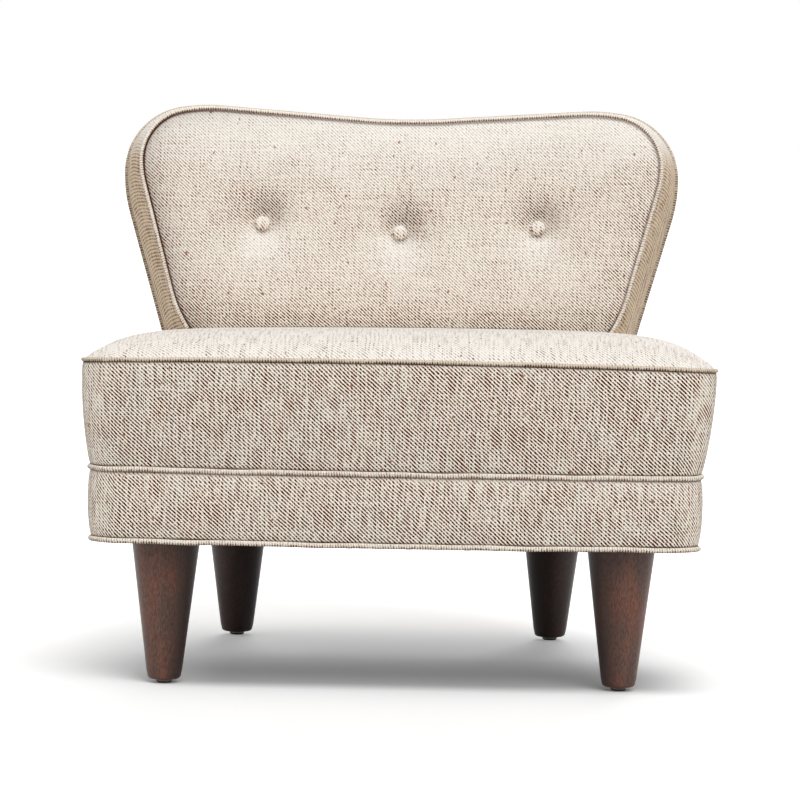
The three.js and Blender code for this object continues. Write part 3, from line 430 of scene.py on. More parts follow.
def back_top(half_width, widest_height, shoulder_radius, corner_radius, side_lean):
    """Half an outline's top in x and z: shoulder, corner, crest, slope and dip, to the middle."""
    shoulder = np.array([half_width - shoulder_radius, widest_height])
    corner = np.array([half_width - corner_radius, widest_height])
    turn = crest_radius - corner_radius
    crest = corner - turn * np.array([math.cos(crest_turn), math.sin(crest_turn)])
    slope = math.pi / 2 + dip_slope
    crest_end = crest + crest_radius * np.array([math.cos(slope), math.sin(slope)])
    dip_x = dip_radius * math.sin(dip_slope)
    dip_z = crest_end[1] - (crest_end[0] - dip_x) * math.tan(dip_slope)
    dip = np.array([0, dip_z + dip_radius * math.cos(dip_slope)])
    hollow = arc_places(dip, -dip_radius, slope, math.pi / 2, outline_dip)
    crown = arc_places(crest, crest_radius, crest_turn, slope, outline_crest)
    return np.vstack([
        arc_places(shoulder, shoulder_radius, -side_lean, 0, outline_shoulder),
        arc_places(corner, corner_radius, 0, crest_turn, outline_corner)[1:],
        crown[1:],
        line_places(crown[-1], hollow[0], outline_top),
        hollow,
    ])


def back_side(start, level, lean):
    z = np.linspace(level, start[1], outline_side + 1)[:-1]
    x = start[0] - (start[1] - z) * math.tan(lean)
    out = np.tile([math.cos(lean), -math.sin(lean)], (len(z), 1))
    return np.hstack([np.stack([x, z], axis=1), out])


rear_top = back_top(
    back_half_width, back_widest_height, back_shoulder_radius, back_corner_radius, back_side_lean
)
rear_edge_foot_x = rear_corner[0] + (rear_corner_radius - lower_draw_in) * math.cos(rear_seam_angle)
rear_edge_join_z = top_welt_z(rear_corner[0], rear_corner[1]) + back_side_join
rear_side = back_side(rear_top[0], rear_edge_join_z, back_side_lean)


def rear_half(foot_z):
    """The right half of the rear edge, from a level at its foot to the middle of the top."""
    share = np.linspace(0, 1, outline_tuck + 1)[:-1]
    z = foot_z + (rear_edge_join_z - foot_z) * share
    rise = rear_edge_join_z - lower_welt_height
    x = rear_edge_foot_x + (rear_side[0, 0] - rear_edge_foot_x) * (z - lower_welt_height) / rise
    foot = np.stack([x, z, np.ones_like(z), np.zeros_like(z)], axis=1)
    return np.vstack([foot, rear_side, rear_top])


def front_half():
    """The right half of the front edge, from below the seat's crown to the middle of the top."""
    top = back_top(
        front_half_width, front_widest_height, front_shoulder_radius, front_corner_top_radius, front_side_lean
    )
    side = back_side(top[0], tuck_height, front_side_lean)
    centre = side[0, :2] - tuck_radius * side[0, 2:]
    tuck = arc_places(centre, tuck_radius, -tuck_turn, -front_side_lean, outline_tuck)[:-1]
    return np.vstack([tuck, side, top])


front_edge = front_half()
rear_edge = rear_half(top_welt_z(rear_corner[0], rear_corner[1]))


def on_front(places, inset=0):
    x, z = set_in(places, inset).T
    return np.stack([x, back_front_y(x, z), z], axis=1)


def on_rear(places, inset=0):
    x, z = set_in(places, inset).T
    return np.stack([x, back_rear_y(x, z), z], axis=1)


def inside_by(x, z):
    """How far points lie inside the front edge, less than zero outside it."""
    whole = np.vstack([front_edge, mirrored(front_edge)[1:]])[:, :2]
    a, b = whole[:-1], whole[1:]
    step = b - a
    away_x = x.ravel()[:, None] - a[None, :, 0]
    away_z = z.ravel()[:, None] - a[None, :, 1]
    share = np.clip((away_x * step[:, 0] + away_z * step[:, 1]) / (step ** 2).sum(axis=1), 0, 1)
    apart = np.hypot(away_x - share * step[:, 0], away_z - share * step[:, 1])
    nearest = apart.argmin(axis=1)
    row = np.arange(len(nearest))
    turn = step[nearest, 0] * away_z[row, nearest] - step[nearest, 1] * away_x[row, nearest]
    return (np.sign(turn) * apart[row, nearest]).reshape(x.shape)


def tuft_fall_y(x, z):
    """How far the buttons draw the cover in."""
    drawn = 0
    for _, button_x, button_z in tufts:
        away = np.maximum(np.hypot(x - button_x, z - button_z) - tuft_flat, 0)
        drawn = drawn + tuft_depth * np.exp(-away / tuft_fall)
    return drawn


def cushion_y(x, z):
    inside = inside_by(x, z)
    crown = np.where(
        inside > 0, back_crown * (1 - np.exp(-inside / back_crown_run)), back_crown * inside / back_crown_run
    )
    return back_front_y(x, z) - crown + tuft_fall_y(x, z)


# Studio and camera


def direction(elevation, turned):
    """Towards a lamp that stands so far up and so far round from the front to the sitter's left."""
    up, aside = math.radians(elevation), math.radians(turned)
    return (math.cos(up) * math.sin(aside), -math.cos(up) * math.cos(aside), math.sin(up))


# Each lamp's strength, spread in degrees and direction
lamps = {
    "high_light": (0.35, 35, direction(78, 0)),
    "side_light": (1.75, 45, direction(46, 22)),
    "left_light": (0.4, 60, direction(30, -60)),
    "back_light": (1.3, 35, direction(24, 172)),
}
# The way that faces look where the twill's pits are painted darkest, as painted shade.
weave_open_towards = direction(-20, 0)
dome_low = 0.24
dome_high = 0.42
dome_blend = 0.4

# The floor: its whites; its own glow, seen only by the camera and stronger far back, which is painted light
# on the shadow behind the chair; and a grey patch of painted shadow under the seat, each of its four soft
# edges given by where it starts and ends
floor_reach = 40000
floor_white = (0.72, 0.72, 0.72, 1)
floor_shown_white = (0.98, 0.98, 0.98, 1)
floor_lift = 0.05
floor_far_lift = 0.28
floor_far_start = -300
floor_far_end = 450
painted_shadow_level = 0.5
painted_shadow_front = (-310, -220)
painted_shadow_back = (-150, 80)
painted_shadow_left = (-340, -200)
painted_shadow_right = (280, 420)

# The camera, from the middle of the front legs, and its lens, in pixels of the picture
camera_distance = 5400
camera_height = 741
camera_aside = 4.7
camera_pitch = math.radians(4.10)
camera_roll = math.radians(1.02)
camera_swing = math.radians(0.15)
sensor_width = 36
lens_pixels = 4411
picture_pixels = 800
nearest_seen = 100
furthest_seen = 200000

# Making meshes


def quad_mesh(name, points, cloth, ring=False, inside=None, shade=None):
    """A sheet of quads through a grid of bench points. cloth gives each point's place on its flat cloth, with
    one more column on a ring, and shade how deep in a seam's crease it lies. The faces turn away from the
    inside point."""
    rows, columns = points.shape[:2]
    spans = columns if ring else columns - 1
    i, j = (a.ravel() for a in np.meshgrid(np.arange(rows - 1), np.arange(spans), indexing="ij"))
    row, next_row, beside = i * columns, (i + 1) * columns, (j + 1) % columns
    faces = np.stack([row + j, row + beside, next_row + beside, next_row + j], axis=1)
    corners = np.stack([cloth[i, j], cloth[i, j + 1], cloth[i + 1, j + 1], cloth[i + 1, j]], axis=1)
    flat = placed(points).reshape(-1, 3)
    a, b, c, d = (flat[faces[:, k]] for k in range(4))
    away = (a + b + c + d) / 4 - placed(inside)
    if (np.cross(c - a, d - b) * away).sum() < 0:
        faces, corners = faces[:, ::-1], corners[:, ::-1]
    mesh = bpy.data.meshes.new(name)
    mesh.from_pydata(flat.tolist(), [], faces.tolist())
    mesh.uv_layers.new(name="cloth").data.foreach_set("uv", (corners * mm).ravel())
    if shade is not None:
        crease = np.broadcast_to(shade, (rows, columns)).ravel()
        mesh.attributes.new("crease", "FLOAT", "POINT").data.foreach_set("value", crease)
    return mesh


def new_piece(name, mesh):
    piece = bpy.data.objects.new(name, mesh)
    bpy.context.scene.collection.objects.link(piece)
    return piece


def settle(piece, kind, **settings):
    """Puts a modifier on a piece and keeps the mesh that it makes."""
    modifier = piece.modifiers.new(kind.lower(), kind)
    for key, value in settings.items():
        setattr(modifier, key, value)
    keep_result(piece)


def keep_result(piece):
    made = bpy.data.meshes.new_from_object(piece.evaluated_get(bpy.context.evaluated_depsgraph_get()))
    old = piece.data
    piece.modifiers.clear()
    piece.data = made
    made.name = piece.name
    bpy.data.meshes.remove(old)
    made.polygons.foreach_set("use_smooth", [True] * len(made.polygons))


def cut_out(shaped, unwanted):
    """Takes out the faces whose middle, in millimetres, is unwanted."""
    gone = [face for face in shaped.faces if unwanted(face.calc_center_median() / mm)]
    bmesh.ops.delete(shaped, geom=gone, context="FACES")


def close_poles(mesh):
    """Joins the points that meet at each end of a turned shape."""
    closed = bmesh.new()
    closed.from_mesh(mesh)
    bmesh.ops.remove_doubles(closed, verts=closed.verts, dist=weld_reach * mm)
    bmesh.ops.recalc_face_normals(closed, faces=closed.faces)
    closed.to_mesh(mesh)
    closed.free()


def dressed(piece, material, slot, *nodes):
    """Gives a piece its one material and its place in the chair."""
    piece.data.materials.clear()
    piece.data.materials.append(material)
    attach(piece, "root")
    if nodes:
        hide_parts(*nodes)
    return piece


def cloth_piece(name, points, cloth, inside, ring=False, thickness=cloth_thickness, shade=None):
    """A cloth cover: a sheet with its thickness on the inner side."""
    piece = new_piece(name, quad_mesh(name, points, cloth, ring, inside, shade))
    settle(piece, "SOLIDIFY", thickness=thickness * mm, offset=-1.0, use_even_offset=True)
    return piece


def even(path, count):
    """A path drawn again with evenly spaced points."""
    along = lengths(path)
    at = np.linspace(0, along[-1], count)
    return np.stack([np.interp(at, along, path[:, k]) for k in range(path.shape[1])], axis=1)


def spaced(path, shares):
    """A path drawn again at shares of its length."""
    along = lengths(path)
    return np.stack([np.interp(shares * along[-1], along, path[:, k]) for k in range(path.shape[1])], axis=1)


def seam_steps(height, count):
    """Shares from seam to seam: close together by the seams, where the cloth rolls in, and even between."""
    between = np.linspace(seam_rows[-1], height - seam_rows[-1], count)[1:-1]
    return np.concatenate([seam_rows, between, height - seam_rows[::-1]]) / height


def seamed_shares(width, height, steps):
    """Shares across and up a face that is sewn in all round."""
    return seam_steps(width, steps[0]), seam_steps(height, steps[1])


def even_shares(steps):
    """Even shares across and up."""
    return [np.linspace(0, 1, count) for count in steps]


def seam_shade(depth):
    """How deep the painted shade in the crease is, at a depth from where the cloth goes in under the welt."""
    return np.exp(-np.maximum(depth - seam_hidden, 0) / seam_shade_run)


def patch(low, high, left, right, across, up):
    """A grid of points between four edges that share their corners, at shares across and up."""
    low, high = spaced(low, across), spaced(high, across)
    left, right = spaced(left, up), spaced(right, up)
    u = across[None, :, None]
    v = up[:, None, None]
    ruled = (1 - v) * low[None] + v * high[None] + (1 - u) * left[:, None] + u * right[:, None]
    corners = (1 - u) * (1 - v) * low[0] + u * (1 - v) * low[-1] + (1 - u) * v * high[0] + u * v * high[-1]
    return ruled - corners


def ripple(along, spacing, phase):
    """A gentle unevenness, between minus one and one, that never quite repeats."""
    turn = 2 * math.pi * np.asarray(along) / spacing
    return (np.sin(turn + phase) + np.sin(turn * 0.63 + 2.1 * phase) + np.sin(turn * 1.71 + 3.7 * phase)) / 3


# Materials

# The twill's lattice, in millimetres on the cloth: brown weft shows in pits along the grooves between slanted
# ribs, deepest where a groove crosses a gap between warp threads or a faint rib that slants the other way.
twill_pitch = 5.2
twill_row = 4.75
pick = twill_row / 2
warp_share = 0.42
cross_share = 0.42
uneven_share = 3.2
pit_edge = -0.1
pit_floor = 1.2
twill_relief = 0.6

# A welt's cloth is cut on the bias, so its ribs cross the cord as a row of beads.
bead_pitch = 3.2
bead_slant = 0.02
bead_relief = 0.7

# How large the spots of each unevenness are on the cloth, across and along
spinning_size = (2.381, 2.778)
warp_slub_size = (2.5, 33.33)
weft_slub_size = (83.33, 3.03)
pit_size = (3.704, 3.333)
cloud_size = (50, 71.43)
fleck_size = (6.25, 9.091)
bead_size = (2.857, 5)
worn_size = (50, 20)
pull_size = 33.33
pull_reach = (3.0, 3.0, 0)

# Grain, pores, threads and scratches of the other materials. The foam's pores, the lines of the wire and the
# plate, and the twist of the thread are drawn coarser than real ones, which would be too fine to show.
grain_size = (1.538, 1.538, 6.667)
stain_cloud_size = (22.22, 22.22, 83.33)
grain_relief = 0.3
frame_grain_size = (83.33, 6.25, 6.25)
pore_size = 1.429
jute_thread = 7.143
fibre_size = 1.667
pressed_dot_pitch = 2
pressed_dot_relief = 0.3
wire_line_size = 1.111
plate_line_size = 0.667
nylon_scuff_size = (2.5, 2.5, 2.5)
twist_size = (0.714, 0.714, 0.714)

smoothly = {"interpolation_type": "SMOOTHSTEP"}


def hex_colour(text):
    """An sRGB hex value as linear light."""
    values = [int(text[k:k + 2], 16) / 255 for k in (1, 3, 5)]
    return tuple(v / 12.92 if v <= 0.04045 else ((v + 0.055) / 1.055) ** 2.4 for v in values) + (1.0,)


def add(tree, kind, values=(), out=0, **settings):
    """Adds a node with its settings, values and links, and gives one of its outputs. The values go to its
    inputs in order, or by key, and each is a number, a hex colour, a word or another node's output."""
    made = tree.nodes.new(kind)
    for key, value in settings.items():
        setattr(made, key, value)
    for key, value in values.items() if isinstance(values, dict) else enumerate(values):
        if isinstance(value, bpy.types.NodeSocket):
            tree.links.new(value, made.inputs[key])
        else:
            made.inputs[key].default_value = hex_colour(value) if str(value).startswith("#") else value
    return made.outputs[out] if made.outputs else made


def new_material(name):
    material = bpy.data.materials.new(name)
    material.use_nodes = True
    tree = material.node_tree
    tree.nodes.clear()
    return material, tree


def surface(tree, **values):
    """Ends a material in one principled surface."""
    named = {key.replace("_", " ").title().replace("Ior", "IOR"): value for key, value in values.items()}
    shader = add(tree, "ShaderNodeBsdfPrincipled", named)
    add(tree, "ShaderNodeOutputMaterial", {"Surface": shader})


def product(tree, *values):
    """All of the values multiplied."""
    made = values[0]
    for value in values[1:]:
        made = add(tree, "ShaderNodeMath", (made, value), operation="MULTIPLY")
    return made


def wave(tree, length, pitch):
    """The cosine wave of a length, with its crests a pitch apart."""
    turn = add(tree, "ShaderNodeMath", (length, 2 * math.pi / pitch), operation="MULTIPLY")
    return add(tree, "ShaderNodeMath", (turn,), operation="COSINE")


def facing(tree, axis):
    """How far a face looks along an axis, from minus one to one."""
    normal = add(tree, "ShaderNodeNewGeometry", out="Normal")
    return add(tree, "ShaderNodeSeparateXYZ", (normal,), out=axis)


def spots(tree, place, size, detail=2.0, rough=0.5):
    """Cloudy spots about as large as so many millimetres each way. Cloth has two ways, and solids three."""
    scale = (*(1 / length for length in size), 0)[:3]
    stretched = add(tree, "ShaderNodeVectorMath", (place, scale), operation="MULTIPLY")
    settings = {"Vector": stretched, "Scale": 1.0, "Detail": detail, "Roughness": rough}
    return add(tree, "ShaderNodeTexNoise", settings)


def object_millimetres(tree):
    """The place on the object in millimetres."""
    metres = add(tree, "ShaderNodeTexCoord", out="Object")
    return add(tree, "ShaderNodeVectorMath", {0: metres, "Scale": 1 / mm}, operation="SCALE")


def cloth_millimetres(tree):
    """The place on the flat cloth in millimetres, pushed about a little, as hand-pulled cloth is."""
    metres = add(tree, "ShaderNodeUVMap", uv_map="cloth")
    flat = add(tree, "ShaderNodeVectorMath", {0: metres, "Scale": 1 / mm}, operation="SCALE")
    pulls = {"Vector": flat, "Scale": 1 / pull_size, "Detail": 2.0}
    drift = add(tree, "ShaderNodeTexNoise", pulls, out="Color")
    return add(tree, "ShaderNodeVectorMath", (drift, pull_reach, flat), operation="MULTIPLY_ADD")


def matt_cloth(tree, colour, height, strength, depth, sheen):
    """Ends a material in matt cloth with its threads' relief and a faint sheen of loose fibre."""
    bump = add(tree, "ShaderNodeBump", {"Strength": strength, "Distance": depth * mm, "Height": height})
    surface(
        tree, base_color=colour, roughness=0.9, specular_ior_level=0.1, normal=bump,
        sheen_weight=sheen, sheen_roughness=0.4, sheen_tint="#fdf9f2",
    )


def twill(
    name, pits, lines, least_open, slubs=(0.65, 2.4), cream="#f7f3e8", groove="#97541f", rows=False, finer=1
):
    """Linen and cotton twill, cream warp over brown weft: slanted ribs with dark pits, slubs and flecks. pits
    and lines say how brown the pits and the lines between ribs are, and rows that these run straight."""
    material, tree = new_material(name)
    place = cloth_millimetres(tree)
    woven = add(tree, "ShaderNodeVectorMath", {0: place, "Scale": finer}, operation="SCALE")
    split = add(tree, "ShaderNodeSeparateXYZ", (woven,)).node
    u, v = split.outputs["X"], split.outputs["Y"]

    slope = twill_pitch / twill_row
    down_right = add(tree, "ShaderNodeMath", (v, slope, u), operation="MULTIPLY_ADD")
    down_left = add(tree, "ShaderNodeMath", (v, -slope, u), operation="MULTIPLY_ADD")
    ribs, gaps, cross_ribs = (wave(tree, way, twill_pitch) for way in (down_right, u, down_left))
    with_gaps = add(tree, "ShaderNodeMath", (gaps, warp_share, ribs), operation="MULTIPLY_ADD")
    crossed = add(tree, "ShaderNodeMath", (cross_ribs, cross_share, with_gaps), operation="MULTIPLY_ADD")
    spinning = spots(tree, place, spinning_size, 2.0, 0.6)
    centred = add(tree, "ShaderNodeMath", (spinning, 0.5), operation="SUBTRACT")
    spun = add(tree, "ShaderNodeMath", (centred, uneven_share, crossed), operation="MULTIPLY_ADD")
    pit = add(tree, "ShaderNodeMapRange", (spun, pit_edge, pit_floor), **smoothly)
    line_range = (wave(tree, v, twill_row), -0.45, 0.55) if rows else (ribs, -0.75, 0.35)
    line = add(tree, "ShaderNodeMapRange", line_range, **smoothly)

    # Slubs: thick and thin threads, mostly along the warp, with a few across, and no two pits quite alike.
    warp_slubs = spots(tree, place, warp_slub_size, 2.0, 0.6)
    warp = add(tree, "ShaderNodeMapRange", (warp_slubs, 0.46, 0.63, *slubs), **smoothly)
    weft_slubs = spots(tree, place, weft_slub_size)
    weft = add(tree, "ShaderNodeMapRange", (weft_slubs, 0.3, 0.7, 0.8, 1.3), **smoothly)
    unlike = spots(tree, place, pit_size, 1.0)
    each = add(tree, "ShaderNodeMapRange", (unlike, 0.28, 0.72, 0.6, 1.5), **smoothly)
    clouds = spots(tree, place, cloud_size)
    cloudy = add(tree, "ShaderNodeMapRange", (clouds, 0.3, 0.7, 0.85, 1.15), **smoothly)
    level = product(tree, warp, weft, each, cloudy)

    # The pits and the lines between ribs show the brown weft, darkened with painted shade: pits deepest on
    # faces that look forward and down, fainter on faces turned aside, as if hidden behind the ribs, and pits
    # and lines fainter on faces turned up, as if light filled the grooves.
    normal = add(tree, "ShaderNodeNewGeometry", out="Normal")
    forward = add(
        tree, "ShaderNodeVectorMath", (normal, weave_open_towards), out="Value", operation="DOT_PRODUCT"
    )
    opened = add(tree, "ShaderNodeMapRange", (forward, 0.82, 0.98, least_open, 1.0), **smoothly)
    rise = facing(tree, "Z")
    filled = add(tree, "ShaderNodeMapRange", (rise, -0.05, 0.55, 1.0, 0.42), **smoothly)
    shaded_side = add(tree, "ShaderNodeMapRange", (rise, -0.05, 0.6, 1.0, 0.25), **smoothly)
    pit_level = product(tree, level, opened, filled, pits)
    brown = add(tree, "ShaderNodeMath", (pit, pit_level), operation="MULTIPLY", use_clamp=True)
    line_level = product(tree, level, shaded_side, lines)
    tan = add(tree, "ShaderNodeMath", (line, line_level), operation="MULTIPLY", use_clamp=True)

    # Painted light: faces that look up take a more neutral cream, as strongly lit cloth looks.
    top_light_share = add(tree, "ShaderNodeMapRange", (rise, 0.0, 0.7), **smoothly)
    top_lit_cream = add(tree, "ShaderNodeMix", {0: top_light_share, 6: cream, 7: "#f3efe8"}, 2, data_type="RGBA")
    pick_line = add(tree, "ShaderNodeMapRange", (wave(tree, v, pick), -0.2, 1.0, 0.0, 0.09), **smoothly)
    combed = add(tree, "ShaderNodeMix", {0: pick_line, 6: top_lit_cream, 7: "#b0906c"}, 2, data_type="RGBA")
    grooved = add(tree, "ShaderNodeMix", {0: tan, 6: combed, 7: groove}, 2, data_type="RGBA")
    pitted = add(tree, "ShaderNodeMix", {0: brown, 6: grooved, 7: "#2f0f00"}, 2, data_type="RGBA")

    # Flecks: short ends of rust-brown fibre, a finger's width apart.
    ends = spots(tree, place, fleck_size, 1.0)
    fleck = add(tree, "ShaderNodeMapRange", (ends, 0.71, 0.76, 0.0, 0.85), **smoothly)
    flecked = add(tree, "ShaderNodeMix", {0: fleck, 6: pitted, 7: "#8a5226"}, 2, data_type="RGBA")

    # Painted shade: where the crease attribute says, the cloth darkens towards dark brown, in the seams'
    # creases, along the back's left edge, round the buttons and above them.
    crease = add(tree, "ShaderNodeAttribute", out="Fac", attribute_name="crease")
    shaded = add(tree, "ShaderNodeMix", {0: crease, 6: flecked, 7: "#452612"}, 2, data_type="RGBA")
    ridge = add(tree, "ShaderNodeMath", (1.0, pit), operation="SUBTRACT")
    height = add(tree, "ShaderNodeMath", (each, 0.3, ridge), operation="MULTIPLY_ADD")
    matt_cloth(tree, shaded, height, 0.45, twill_relief, 0.15)
    return material


def bias_twill(name, bead_colour, gap_colour):
    """The same twill cut on the bias and drawn round a cord: cream beads with brown between them."""
    material, tree = new_material(name)
    place = cloth_millimetres(tree)
    split = add(tree, "ShaderNodeSeparateXYZ", (place,)).node
    u, v = split.outputs["X"], split.outputs["Y"]
    slanted = add(tree, "ShaderNodeMath", (v, bead_slant, u), operation="MULTIPLY_ADD")
    beads = wave(tree, slanted, bead_pitch)
    gap = add(tree, "ShaderNodeMapRange", (beads, -0.7, 0.7, 0.25, 1.0), **smoothly)
    row = add(tree, "ShaderNodeMapRange", (wave(tree, v, twill_row), -0.8, 0.6, 0.6, 1.0), **smoothly)
    unlike = spots(tree, place, bead_size, 1.0)
    each = add(tree, "ShaderNodeMapRange", (unlike, 0.3, 0.7, 0.5, 1.5), **smoothly)
    wear = spots(tree, place, worn_size)
    worn = add(tree, "ShaderNodeMapRange", (wear, 0.3, 0.7, 0.8, 1.3), **smoothly)
    # Painted shade: the beads are browner on the welt's underside and paler on its top, as light from above
    # falls.
    under = add(tree, "ShaderNodeMapRange", (facing(tree, "Z"), -0.5, 0.6, 1.3, 0.4), **smoothly)
    level = product(tree, gap, row, each, worn)
    brown = add(tree, "ShaderNodeMath", (level, under), operation="MULTIPLY", use_clamp=True)
    colour = add(tree, "ShaderNodeMix", {0: brown, 6: bead_colour, 7: gap_colour}, 2, data_type="RGBA")
    ridge = add(tree, "ShaderNodeMath", (1.0, gap), operation="SUBTRACT")
    matt_cloth(tree, colour, ridge, 0.6, bead_relief, 0.1)
    return material


def stained_wood(name, brown, reddish, streaks):
    """Espresso-stained birch in satin lacquer: long faint grain, reddish where it took less stain."""
    material, tree = new_material(name)
    place = object_millimetres(tree)
    grain = spots(tree, place, grain_size, 4.0, 0.65)
    red = add(tree, "ShaderNodeMapRange", (spots(tree, place, stain_cloud_size, 3.0), 0.42, 0.68))
    base = add(tree, "ShaderNodeMix", {0: red, 6: brown, 7: reddish}, 2, data_type="RGBA")
    streak = add(tree, "ShaderNodeMapRange", (grain, 0.4, 0.62, 0.0, 0.6))
    fine = add(tree, "ShaderNodeMix", {0: streak, 6: base, 7: streaks}, 2, data_type="RGBA")

    # Painted shade: the inner faces, which look in under the seat, are darkened towards near black.
    aside = add(tree, "ShaderNodeSeparateXYZ", (place,), out="X")
    side = add(tree, "ShaderNodeMath", (aside,), operation="SIGN")
    outward = product(tree, facing(tree, "X"), side)
    inner_face_shade = add(tree, "ShaderNodeMapRange", (outward, -0.85, 0.35, 0.75, 0.0), **smoothly)
    tone = add(tree, "ShaderNodeMix", {0: inner_face_shade, 6: fine, 7: "#1a0f0b"}, 2, data_type="RGBA")
    rough = add(tree, "ShaderNodeMapRange", (grain, 0.2, 0.8, 0.3, 0.42))
    bump = add(tree, "ShaderNodeBump", {"Strength": 0.12, "Distance": grain_relief * mm, "Height": grain})
    surface(tree, base_color=tone, roughness=rough, specular_ior_level=0.28, normal=bump)
    return material


def two_toned(name, dark, light, roughness, size, detail):
    """A plain matt material that wavers between two tones in spots of a size."""
    material, tree = new_material(name)
    waver = spots(tree, object_millimetres(tree), size, detail)
    tone = add(tree, "ShaderNodeMix", {0: waver, 6: dark, 7: light}, 2, data_type="RGBA")
    surface(tree, base_color=tone, roughness=roughness)
    return material


def raw_wood():
    """Planed frame hardwood, left raw: pale, dry, with a plain straight grain."""
    return two_toned("raw_frame_hardwood", "#d8bb8c", "#a67f4e", 0.75, frame_grain_size, 4.0)


def glide_nylon():
    """Moulded black nylon, dull from the floor."""
    return two_toned("moulded_nylon", "#1b1a1a", "#34312f", 0.5, nylon_scuff_size, 3.0)


def waxed_thread():
    """Waxed linen thread: cream, twisted, with a dull wax shine."""
    return two_toned("waxed_linen_thread", "#cdbb9c", "#f2e8d4", 0.6, twist_size, 2.0)


def foam():
    """Cut polyurethane foam: cream, matt and finely pored."""
    material, tree = new_material("polyurethane_foam")
    grid = {"Vector": object_millimetres(tree), "Scale": 1 / pore_size}
    pores = add(tree, "ShaderNodeTexVoronoi", grid, out="Distance")
    tone = add(tree, "ShaderNodeMix", {0: pores, 6: "#d9cda4", 7: "#f3ebd0"}, 2, data_type="RGBA")
    surface(tree, base_color=tone, roughness=0.95)
    return material


def jute():
    """Plain-woven jute webbing and twine: coarse brown threads over and under."""
    material, tree = new_material("woven_jute")
    threads = {"Vector": object_millimetres(tree), "Scale": 1 / jute_thread}
    across = add(tree, "ShaderNodeTexWave", threads, bands_direction="X")
    along = add(tree, "ShaderNodeTexWave", threads, bands_direction="Z")
    weave = product(tree, across, along)
    tone = add(tree, "ShaderNodeMix", {0: weave, 6: "#7d623d", 7: "#b39463"}, 2, data_type="RGBA")
    surface(tree, base_color=tone, roughness=0.95)
    return material


def dust_cloth():
    """Black spun polypropylene: matt fibres bonded in a fine grid of pressed dots."""
    material, tree = new_material("black_spun_polypropylene")
    place = object_millimetres(tree)
    fibres = add(tree, "ShaderNodeTexNoise", {"Vector": place, "Scale": 1 / fibre_size, "Detail": 4.0})
    grid = {"Vector": place, "Scale": 1 / pressed_dot_pitch, "Randomness": 0.2}
    dots = add(tree, "ShaderNodeTexVoronoi", grid, out="Distance")
    tone = add(tree, "ShaderNodeMix", {0: fibres, 6: "#141414", 7: "#2c2b2a"}, 2, data_type="RGBA")
    bump = add(tree, "ShaderNodeBump", {"Strength": 0.4, "Distance": pressed_dot_relief * mm, "Height": dots})
    surface(tree, base_color=tone, roughness=0.85, normal=bump)
    return material


def metal(name, colour, roughness, line_size):
    """Bare or plated steel, with faint drawn lines."""
    material, tree = new_material(name)
    scratches = {"Vector": object_millimetres(tree), "Scale": 1 / line_size, "Detail": 4.0}
    lines = add(tree, "ShaderNodeTexNoise", scratches)
    rough = add(tree, "ShaderNodeMapRange", (lines, 0.3, 0.7, roughness * 0.8, roughness * 1.2))
    surface(tree, base_color=colour, metallic=1.0, roughness=rough)
    return material


cover_twill = twill("cream_and_brown_twill", 1.5, 0.62, 0.35)
back_twill = twill("cream_and_brown_twill_on_the_back", 1.1, 0.6, 0.5, (0.85, 1.45), finer=1.085)
# The back's band takes a warmer, darker cream and darker grooves: painted shade, for the band that faces
# aside out of the light.
band_twill_in_painted_shade = twill(
    "cream_and_brown_twill_edge_on_in_painted_shade", 0.35, 0.5, 1.0, (0.5, 2.4), "#e9d2b4", "#6e431c", rows=True
)
# The buttons' copy has fewer and paler pits: painted light, for domes that face up into the light.
button_twill_painted_lighter = twill("cream_and_brown_twill_on_buttons_painted_lighter", 0.25, 0.45, 0.7)
welt_twill = bias_twill("bias_cut_twill", "#f5eee1", "#74492a")
shaded_welt_twill = bias_twill("bias_cut_twill_in_shade", "#e4d5c0", "#4a2c14")
leg_finish = stained_wood("espresso_stained_birch", "#614a40", "#7d5040", "#2f1a13")
# The rear legs' copy is darker all over: painted shade, for the legs that stand in shade under the seat.
rear_leg_finish_in_painted_shade = stained_wood("espresso_stained_birch_in_painted_shade", "#382720", "#483028", "#170d09")
frame_finish = raw_wood()
foam_finish = foam()
jute_finish = jute()
dust_finish = dust_cloth()
spring_finish = metal("oiled_spring_wire", "#5c5e62", 0.35, wire_line_size)
plate_finish = metal("blackened_nickel_plate", "#6b665e", 0.3, plate_line_size)
base_finish = glide_nylon()
thread_finish = waxed_thread()

# Seat covers

seat_core = (0, seat_depth / 2, lower_welt_height)


def slack(along, share):
    """Where a band of cloth lies a little looser or tighter, away from its seams."""
    return band_slack * ripple(along, band_slack_wave, band_slack_phase)[None, :] * np.sin(math.pi * share)


def band(places, along, head, foot, insets, shares):
    """A wall of cloth between two levels, rolled in at both seams. insets gives the draw-in at each share."""
    share = shares[:, None]
    z = head[None] + (foot - head)[None] * share
    seam = np.exp(-(head[None] - z) / seam_roll_run) + np.exp(-(z - foot) / seam_roll_run)
    inset = insets(share) + seam_roll * seam + slack(along, share)
    x = places[None, :, 0] - places[None, :, 2] * inset
    y = places[None, :, 1] - places[None, :, 3] * inset
    return np.stack([x, y, z], axis=2), z


def band_shade(z, head, foot, above, below):
    """The painted shade in the crease under the upper seam and over the lower one, each as dark as it is
    given.
    """
    return above * seam_shade(head[None] - z) + below * seam_shade(z - foot[None])


def band_cloth(along, z, ring=False):
    v = np.hstack([z, z[:, :1]]) if ring else z
    u = np.broadcast_to(along[None], v.shape)
    return np.stack([u, v], axis=2)


def boxing_inset(share):
    return lower_draw_in * share ** 2


def apron_inset(share):
    """From the lower welt's draw-in to the bottom welt's, less the apron's bulge between them."""
    drawn = lower_draw_in + (bottom_draw_in - lower_draw_in) * share
    return drawn - 4 * apron_bulge * share * (1 - share)


